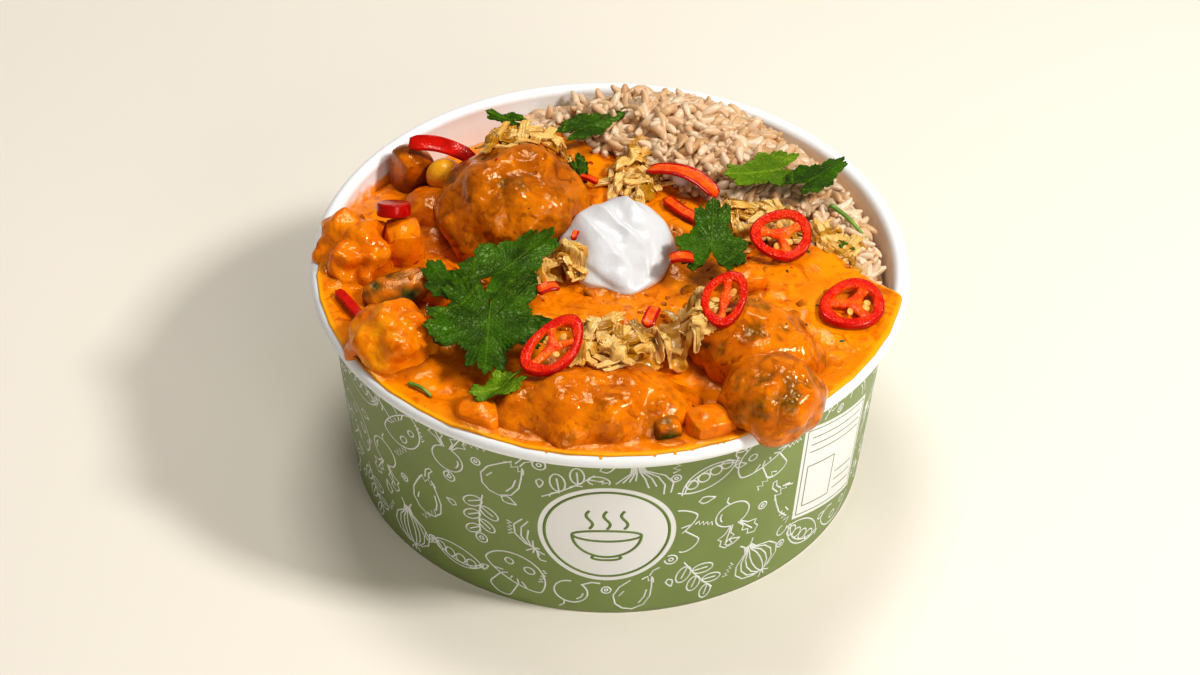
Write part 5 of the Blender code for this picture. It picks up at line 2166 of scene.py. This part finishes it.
@dataclass(frozen=True)
class CorianderLeaf:
    """One coriander leaf, lobed and toothed, that lies where its solid lies."""

    node: str
    base: Spot
    tip: Spot
    width: float
    lobes: int = 5
    depth: float = 0.25
    # bright: whether the leaf takes the lighter copy of the leaf finish, painted light for the leaves that
    # the light falls on most
    bright: bool = False
    wave: float = 0.5
    thickness: float = 0.28
    sunk: float = 0.2

    def reach(self, angle: np.ndarray) -> np.ndarray:
        """Return the outline's reach from the leaf's middle, by the angle from its tip.

        Args:
            angle: Angles in radians.

        Returns:
            One reach for each angle.
        """
        lobe = 1.0 - 1.25 * self.depth * (0.5 - 0.5 * np.cos(self.lobes * angle)) ** 2.2
        notch = 1.0 - 0.55 * np.exp(-((np.abs(angle) - math.pi) / 0.26) ** 2)
        coarse, fine = self.teeth(angle, 4 * self.lobes, 0.17), self.teeth(angle, 12 * self.lobes, 0.075)
        return lobe * notch * coarse * fine

    def teeth(self, angle: np.ndarray, count: int, depth: float) -> np.ndarray:
        """Return the outline's rounded teeth, as a share of its reach."""
        part = (count * angle / (math.tau) + 0.5) % 1.0
        return 1.0 - depth * (2.0 * np.abs(part - 0.5)) ** 1.7

    def veins(self, u: np.ndarray, v: np.ndarray) -> np.ndarray:
        """Return 1 on a vein and 0 off it; u runs from the stalk to the tip, v across, in millimetres.

        Args:
            u: How far each point lies along the leaf from its middle.
            v: How far it lies across.

        Returns:
            One value for each point.
        """
        length = math.dist(self.base, self.tip)
        mask = np.zeros(len(u))
        x, y = u + 0.42 * length, v
        spread = (0.0, 0.55, -0.55, 1.05, -1.05) if self.lobes == 5 else (0.0, 0.62, -0.62)
        for turn in spread:
            along = x * math.cos(turn) + y * math.sin(turn)
            off = -x * math.sin(turn) + y * math.cos(turn) - 0.012 * along ** 2 * math.sin(turn)
            wide = 0.16 + 0.18 * np.clip(1.0 - along / length, 0.0, 1.0)
            mask = np.maximum(mask, np.exp(-(off / wide) ** 2) * (along > 0.0))
            side = (along - 1.25 * np.abs(off)) / 2.6
            branch = np.abs(side - np.rint(side)) * 2.6
            near = (np.abs(off) < 0.22 * length) * (along > 1.5)
            mask = np.maximum(mask, 0.55 * np.exp(-(branch / 0.14) ** 2) * near)
        return mask

    def build(self) -> Piece:
        """Build the leaf over its solid.

        Returns:
            The leaf.
        """
        solid = tree_of(FRAME["nodes"][self.node])
        length = math.dist(self.base, self.tip)
        turns = max(150, int(14.0 * length))
        rings = max(14, int(1.3 * length))
        grid = new_primitive(self.node + "_blade", bpy.ops.mesh.primitive_grid_add,
                             x_subdivisions=turns, y_subdivisions=rings, size=2.0)
        flat = points_of(grid)
        angle = flat[:, 0] * math.pi
        ring = (flat[:, 1] + 1.0) * 0.5
        reach = 0.5 * ring * self.reach(angle)
        u, v = length * reach * np.cos(angle), self.width * reach * np.sin(angle)
        along = np.array([self.tip[0] - self.base[0], self.tip[1] - self.base[1]]) / length
        middle = np.array([0.5 * (self.base[0] + self.tip[0]), 0.5 * (self.base[1] + self.tip[1])])
        spots = middle + u[:, None] * along + v[:, None] * np.array([along[1], -along[0]])
        top = box_of(self.node)[1][2]
        height = np.array([level_at(solid, x, y, top) - self.sunk for x, y in spots.tolist()])
        veins = self.veins(u, v)
        lobe = np.abs((self.lobes * angle / (math.tau) + 0.5) % 1.0 - 0.5)
        curl = self.wave * ring ** 3 * (0.35 + 0.65 * np.sin(self.lobes * 1.5 * angle + 0.7))
        curl += 0.075 * min(length, self.width) * ring * lobe
        points = np.stack([spots[:, 0], spots[:, 1], height + curl - 0.10 * veins], 1)
        points[:, 2] += (0.22 * ripple(points, 2.6, 8.0) + 0.3 * ripple(points, 5.5, 9.0)) * ring
        put_points(grid, points * MM)
        paint(grid, "vein", veins)
        weld(grid, SURFACE_WELD)
        use_modifier(grid, "SOLIDIFY", thickness=self.thickness * MM, offset=0.0)
        return seat(grid, LIT_LEAF if self.bright else LeafFinish(), [self.node])


# painted light: a lighter copy of the leaf finish, for the leaves that the light falls on most
LIT_LEAF = LeafFinish(
    "lit_coriander_leaf", (0.140, 0.245, 0.005), (0.070, 0.150, 0.002), (0.30, 0.42, 0.03)
)


@dataclass(frozen=True)
class Stalk:
    """A thin stalk of coriander, ribbed and slightly thicker at one end."""

    node: str
    start: Spot
    end: Spot
    thickness: float = 1.2

    def build(self) -> Piece:
        """Build the stalk from a cylinder laid along its solid.

        Returns:
            The stalk.
        """
        low, high = box_of(self.node)
        solid = tree_of(FRAME["nodes"][self.node])
        stalk = new_primitive(self.node + "_stem", bpy.ops.mesh.primitive_cylinder_add,
                              vertices=20, radius=1.0, depth=2.0)
        bpy.ops.object.mode_set(mode="EDIT")
        bpy.ops.mesh.select_all(action="DESELECT")
        bpy.ops.object.mode_set(mode="OBJECT")
        for edge in stalk.data.edges:
            one, other = (stalk.data.vertices[index].co for index in edge.vertices)
            edge.select = abs(one.z - other.z) > 1.0
        bpy.ops.object.mode_set(mode="EDIT")
        bpy.ops.mesh.subdivide(number_cuts=24)
        bpy.ops.object.mode_set(mode="OBJECT")
        points = points_of(stalk)
        share = (points[:, 2] + 1.0) * 0.5
        angle = np.arctan2(points[:, 1], points[:, 0])
        wide = 0.5 * self.thickness * (1.0 - 0.25 * share) * (1.0 + 0.08 * np.cos(5.0 * angle))
        along = np.array([self.end[0] - self.start[0], self.end[1] - self.start[1]])
        side = np.array([-along[1], along[0]]) / np.hypot(*along)
        spots = np.array(self.start) + share[:, None] * along
        spots += (0.5 * np.sin(3.0 * share))[:, None] * side - 0.25 * side
        middle = 0.5 * (low[2] + high[2])
        level = np.array([level_at(solid, x, y, middle) - 0.5 * self.thickness for x, y in spots.tolist()])
        spots += (wide * np.cos(angle))[:, None] * side
        put_points(stalk, np.stack([spots[:, 0], spots[:, 1], level + wide * np.sin(angle)], 1) * MM)
        green = PlainFoodFinish("coriander_stalk", (0.20, 0.36, 0.035), (0.11, 0.23, 0.012), 3.0, 0.3, 0.05)
        return seat(stalk, green, [self.node])


# The room.


@dataclass
class Studio:
    """The pale floor, the soft lights and the camera."""

    lens: float = 91.598
    place: Point = (-2.276, -594.07, 542.56)
    right: Point = (0.99991, 0.00881, 0.01027)
    up: Point = (-0.01353, 0.65109, 0.75888)
    sensor: float = 36.0
    nearest: float = 0.01
    floor_side: float = 8.0
    food: Point = (0.0, 0.0, 0.05)
    lights: tuple[tuple[str, Point, float, float], ...] = (
        ("key", (0.60, -0.22, 0.76), 0.15, 5.8),
        ("top", (-0.05, 0.30, 0.95), 0.30, 3.4),
        ("front", (0.45, -0.95, 0.50), 0.45, 2.5),
    )
    sky: Colour = (0.95, 0.93, 0.90)
    sky_strength: float = 0.235

    def build_camera(self) -> None:
        """Add the camera at the photograph's angle."""
        data = bpy.data.cameras.new("view")
        data.lens, data.sensor_width, data.clip_start = self.lens, self.sensor, self.nearest
        camera = linked("view", data)
        right, up = Vector(self.right), Vector(self.up)
        turned = Matrix((right, up, right.cross(up))).transposed().to_4x4()
        camera.matrix_world = Matrix.Translation(Vector(self.place) * MM) @ turned
        bpy.context.scene.camera = camera

    def build_floor(self) -> None:
        """Add the floor."""
        floor = new_primitive("floor", bpy.ops.mesh.primitive_plane_add, size=self.floor_side)
        floor.data.materials.append(dress(FloorFinish()))

    def add_light(self, name: str, place: Point, size: float, power: float) -> None:
        """Add a soft square light that faces the food.

        Args:
            name: The light's name.
            place: Where it hangs, in metres.
            size: Its side, in metres.
            power: Its power, in watts.
        """
        data = bpy.data.lights.new(name, "AREA")
        data.size, data.energy = size, power
        light = linked(name, data)
        light.location = place
        light.rotation_euler = (Vector(self.food) - Vector(place)).to_track_quat("-Z", "Y").to_euler()

    def build_lights(self) -> None:
        """Add the lights and the pale surroundings."""
        for light in self.lights:
            self.add_light(*light)
        world = bpy.data.worlds.new("surroundings")
        world.use_nodes = True
        background = world.node_tree.nodes["Background"]
        background.inputs["Color"].default_value = (*self.sky, 1.0)
        background.inputs["Strength"].default_value = self.sky_strength
        bpy.context.scene.world = world
        bpy.context.scene.view_settings.view_transform = "Standard"
        bpy.context.scene.view_settings.look = "Medium High Contrast"

    def build(self) -> None:
        """Build the room."""
        self.build_camera()
        self.build_floor()
        self.build_lights()


@dataclass(frozen=True)
class Scatter:
    """Small things that lie about: herb, chilli flakes, pepper, browned crumbs, and drops on the rim."""

    reach: float = 66.0
    steepest: float = 0.5
    front: Spot = (-128.0, -52.0)
    flecks: int = 60
    drops: int = 11
    crumbs: int = 46
    heaps: tuple[Point, ...] = ((46.0, -14.0, 9.0), (20.0, -24.0, 7.0), (30.0, 2.0, 8.0), (-40.0, -20.0, 8.0),
                                (2.0, -30.0, 9.0), (56.0, -30.0, 6.0))

    def flake(self, rng: random.Random, size: float) -> Piece:
        """Return one thin uneven flake, its points in millimetres.

        Args:
            rng: The random numbers that shape it.
            size: Its half length.

        Returns:
            The flake.
        """
        made = new_ball("flake", 2)
        points = points_of(made) * np.array([size, size * rng.uniform(0.45, 0.9), 0.16])
        points *= (1.0 + 0.4 * ripple(points, 0.9, rng.uniform(0.0, 50.0)))[:, None]
        put_points(made, points)
        return made

    def build(self, rng: random.Random, ground: BVHTree) -> None:
        """Lay the flakes over the meal and the drops along the rim.

        Args:
            rng: The random numbers that place them.
            ground: A search tree over what they fall on.
        """
        herb = PlainFoodFinish("chopped_herb", (0.030, 0.090, 0.002), (0.012, 0.035, 0.001), 1.5, 0.25)
        spice = PlainFoodFinish("ground_pepper", (0.060, 0.018, 0.003), (0.020, 0.007, 0.002), 1.0, 0.3)
        kinds = {
            "chopped_herb": (0.8, herb, "coriander_leaf"),
            "chilli_flakes": (0.7, CHILLI_SKIN, "red_chilli"),
            "ground_pepper": (0.38, spice, "curry_sauce"),
        }
        groups: dict[str, list[Piece]] = {kind: [] for kind in kinds}
        while sum(len(group) for group in groups.values()) < self.flecks:
            reach, turn = self.reach * math.sqrt(rng.random()), rng.uniform(0.0, math.tau)
            hit, normal = landing(ground, reach * math.cos(turn), reach * math.sin(turn))
            if hit is None or normal.z < self.steepest:
                continue
            kind = rng.choice([*kinds, "ground_pepper"])
            flake = self.flake(rng, kinds[kind][0] * rng.uniform(0.6, 1.2))
            spin = Matrix.Rotation(rng.uniform(0, 6), 3, "Z").to_quaternion()
            aim = np.array((normal.to_track_quat("Z", "Y") @ spin).to_matrix())
            put_points(flake, (points_of(flake) @ aim.T + np.array(hit) / MM) * MM)
            groups[kind].append(flake)
        for kind, (_, finish, slot) in kinds.items():
            seat(joined(kind, groups[kind]), finish)
        self.crumble(rng, ground)
        drops = []
        for _ in range(self.drops):
            drop = new_ball("drop", 3)
            turn = math.radians(rng.uniform(*self.front))
            angle, size = rng.uniform(60.0, 115.0), rng.uniform(0.2, 0.5)
            reach, height = PaperBowl().bead_point(angle)
            points = points_of(drop) * np.array([size * rng.uniform(0.8, 1.6), size, 0.35 * size])
            lean = turned_by(y=math.radians(90.0 - angle), z=turn)
            place = np.array([reach * math.cos(turn), reach * math.sin(turn), height])
            put_points(drop, (points @ lean.T + place) * MM)
            drops.append(drop)
        whole = joined("rim_drops", drops)
        paint(whole, "thin", np.full(len(whole.data.vertices), 0.6))
        # no painted shade on the drops
        paint(whole, "painted_contact_shade", np.zeros(len(whole.data.vertices)))
        seat(whole, SauceFinish())

    def crumble(self, rng: random.Random, ground: BVHTree) -> None:
        """Sink browned crumbs of the koftas into the sauce beside them.

        Args:
            rng: The random numbers that place them.
            ground: A search tree over what they lie on.
        """
        made = []
        while len(made) < self.crumbs:
            x, y, spread = rng.choice(self.heaps)
            x, y = rng.gauss(x, spread), rng.gauss(y, spread)
            hit = landing(ground, x, y)[0]
            if hit is None or math.hypot(x, y) > self.reach:
                continue
            crumb = new_ball("crumb", 3)
            size, seed = rng.uniform(0.7, 1.9), rng.uniform(0.0, 90.0)
            unit = points_of(crumb)
            points = unit * np.array([size, size * rng.uniform(0.6, 1.0), 0.6 * size])
            points *= (1.0 + 0.35 * ripple(unit, 0.9, seed) + 0.12 * ripple(unit, 0.35, seed))[:, None]
            points = points @ turned_by(z=rng.uniform(0.0, 6.28)).T
            put_points(crumb, (points + np.array(hit) / MM - np.array([0.0, 0.0, 0.12 * size])) * MM)
            paint(crumb, "bare", np.clip(0.35 + 0.8 * ripple(points, 1.6, seed), 0.0, 1.0))
            # no painted shade on the crumbs
            paint(crumb, "low", np.zeros(len(points)))
            made.append(crumb)
        seat(joined("kofta_crumbs", made), FINISHES["sauced_kofta"])


@dataclass
class Toppings:
    """The onion, the chilli and the coriander over the meal."""

    onions: tuple[OnionShreds, ...] = (
        OnionShreds("onion_back", 34), OnionShreds("onion_centre", 30), OnionShreds("onion_rice", 30),
        OnionShreds("onion_right", 44), OnionShreds("onion_edge", 30), OnionShreds("onion_front", 44),
        OnionShreds("onion_middle", 40),
    )
    rings: tuple[ChilliRing, ...] = (
        ChilliRing("chilli_ring_right", (15.6, 14.0), (0.0, -0.42, 0.9), 3, 30.0),
        ChilliRing("chilli_ring_centre", (10.8, 15.0), (-0.15, -0.40, 0.9), 2, 80.0),
        ChilliRing("chilli_ring_edge", (18.5, 15.0), (0.1, -0.08, 1.0), 3, 0.0),
        ChilliRing("chilli_ring_left", (12.5, 19.5), (-0.15, -0.20, 0.97), 3, 15.0),
    )
    strips: tuple[ChilliStrip, ...] = (
        ChilliStrip("chilli_slice_back", (9.5, 30.5), (27.0, 20.0), 1.5, 5.0, bow=2.2),
        ChilliStrip("chilli_slice_front", (14.0, 22.0), (25.5, 11.0), 1.0, 3.6, bow=-1.8),
        ChilliStrip("chilli_bit_middle", (14.5, -12.5), (20.5, -12.0), 0.6, 4.0),
        ChilliStrip("chilli_bit_front", (9.0, -36.5), (11.0, -29.5), 0.5, 3.4),
        ChilliStrip("chilli_bit_rice", (-8.0, 30.0), (-3.5, 27.5), 0.3, 2.0),
        ChilliStrip("chilli_bit_yoghurt", (-9.2, -3.8), (-8.4, -0.6), 0.3, 1.6),
        ChilliStrip("chilli_bit_left", (-17.5, -26.5), (-12.5, -24.5), 0.5, 3.4),
        ChilliStrip("pepper_strip_back", (-52.5, 35.8), (-35.5, 33.8), 2.0, 4.4, 1.8, True,
                    (0.0, -0.5, 0.87), -3.5),
        ChilliStrip("pepper_strip_left", (-67.0, -16.5), (-60.0, -27.5), 0.4, 2.6, 1.4, True),
    )
    leaves: tuple[CorianderLeaf, ...] = (
        CorianderLeaf("leaf_upper", (-36.0, -26.0), (-14.0, -3.0), 22.0, 3, 0.27, wave=0.8),
        CorianderLeaf("leaf_dark", (-36.0, -27.5), (-45.0, -12.0), 12.0, 3),
        CorianderLeaf("leaf_big", (-28.5, -16.5), (-29.5, -52.5), 33.0, 5, 0.28, wave=1.0),
        CorianderLeaf("leaf_small", (-18.5, -54.0), (-33.0, -58.0), 10.0, 3, bright=True, wave=0.9),
        CorianderLeaf("leaf_centre", (24.5, -18.5), (25.5, 7.5), 20.0, 3, 0.35),
        CorianderLeaf("leaf_back", (-15.0, 42.0), (4.0, 56.0), 11.0, 3),
        CorianderLeaf("leaf_back_left", (-21.0, 33.0), (-32.5, 38.0), 6.0, 3),
        CorianderLeaf("leaf_back_low", (-10.5, 38.0), (-7.0, 28.5), 6.5, 3),
        CorianderLeaf("leaf_right", (52.0, 30.5), (28.5, 22.5), 16.5, 3, bright=True),
        CorianderLeaf("leaf_right_outer", (44.5, 15.0), (60.0, 33.0), 12.0, 3),
        CorianderLeaf("leaf_bit_right", (57.0, 3.5), (61.5, 2.0), 3.0, 3, wave=0.1),
    )

    def build(self, rng: random.Random, ground: BVHTree) -> None:
        """Build every topping over the ground, a search tree over the meal.

        Args:
            rng: The random numbers of the toppings.
            ground: A search tree over the meal.
        """
        for onion in self.onions:
            onion.build(rng, ground)
        for ring in self.rings:
            ring.build(rng)
        for strip in self.strips:
            strip.build()
        self.build_band()
        for leaf in self.leaves:
            leaf.build()
        Stalk("stalk_right", (56.0, 18.5), (66.0, 9.5)).build()
        Stalk("stalk_front", (-47.5, -49.5), (-42.0, -54.0), 1.1).build()

    def build_band(self) -> Piece:
        """Build the short slice of chilli that stands on the potato, its edges rounded.

        Returns:
            The slice.
        """
        low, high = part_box("chilli_slice_left")
        band = new_primitive("chilli_slice_left_band", bpy.ops.mesh.primitive_cylinder_add,
                             vertices=64, radius=4.3 * MM, depth=3.4 * MM)
        use_modifier(band, "BEVEL", width=0.5 * MM, segments=4, limit_method="ANGLE")
        points = points_of(band) @ turned_by(x=math.radians(-28.0)).T
        put_points(band, points + np.array((low + high) / 2.0) - 0.5 * (points.min(0) + points.max(0)))
        return seat(band, CHILLI_SKIN, ["chilli_slice_left"], CREASE)


def main() -> None:
    """Build the bowl, what fills it and the toppings, in that order."""
    logging.basicConfig(level=logging.INFO, format="%(message)s")
    FRAME.update(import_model())
    rng = random.Random(11)
    Studio().build()
    bowl = PaperBowl()
    bowl.build_wall()
    bowl.build_floor()
    PrintedPattern(bowl).build(rng)
    pieces = [seat(piece.build(), piece.finish(), [piece.node]) for piece in food_pieces()]
    standing = [piece.node for piece in food_pieces()] + ["yoghurt"]
    sauce = CurrySauce().build(tree_of(*(FRAME["nodes"][node] for node in standing)))
    ground = tree_of(*pieces, sauce, FRAME["nodes"]["rice"])
    Scatter().build(rng, ground)
    Yoghurt().build()
    RiceHeap().build(rng)
    Toppings().build(rng, ground)


if __name__ == "__main__":
    main()
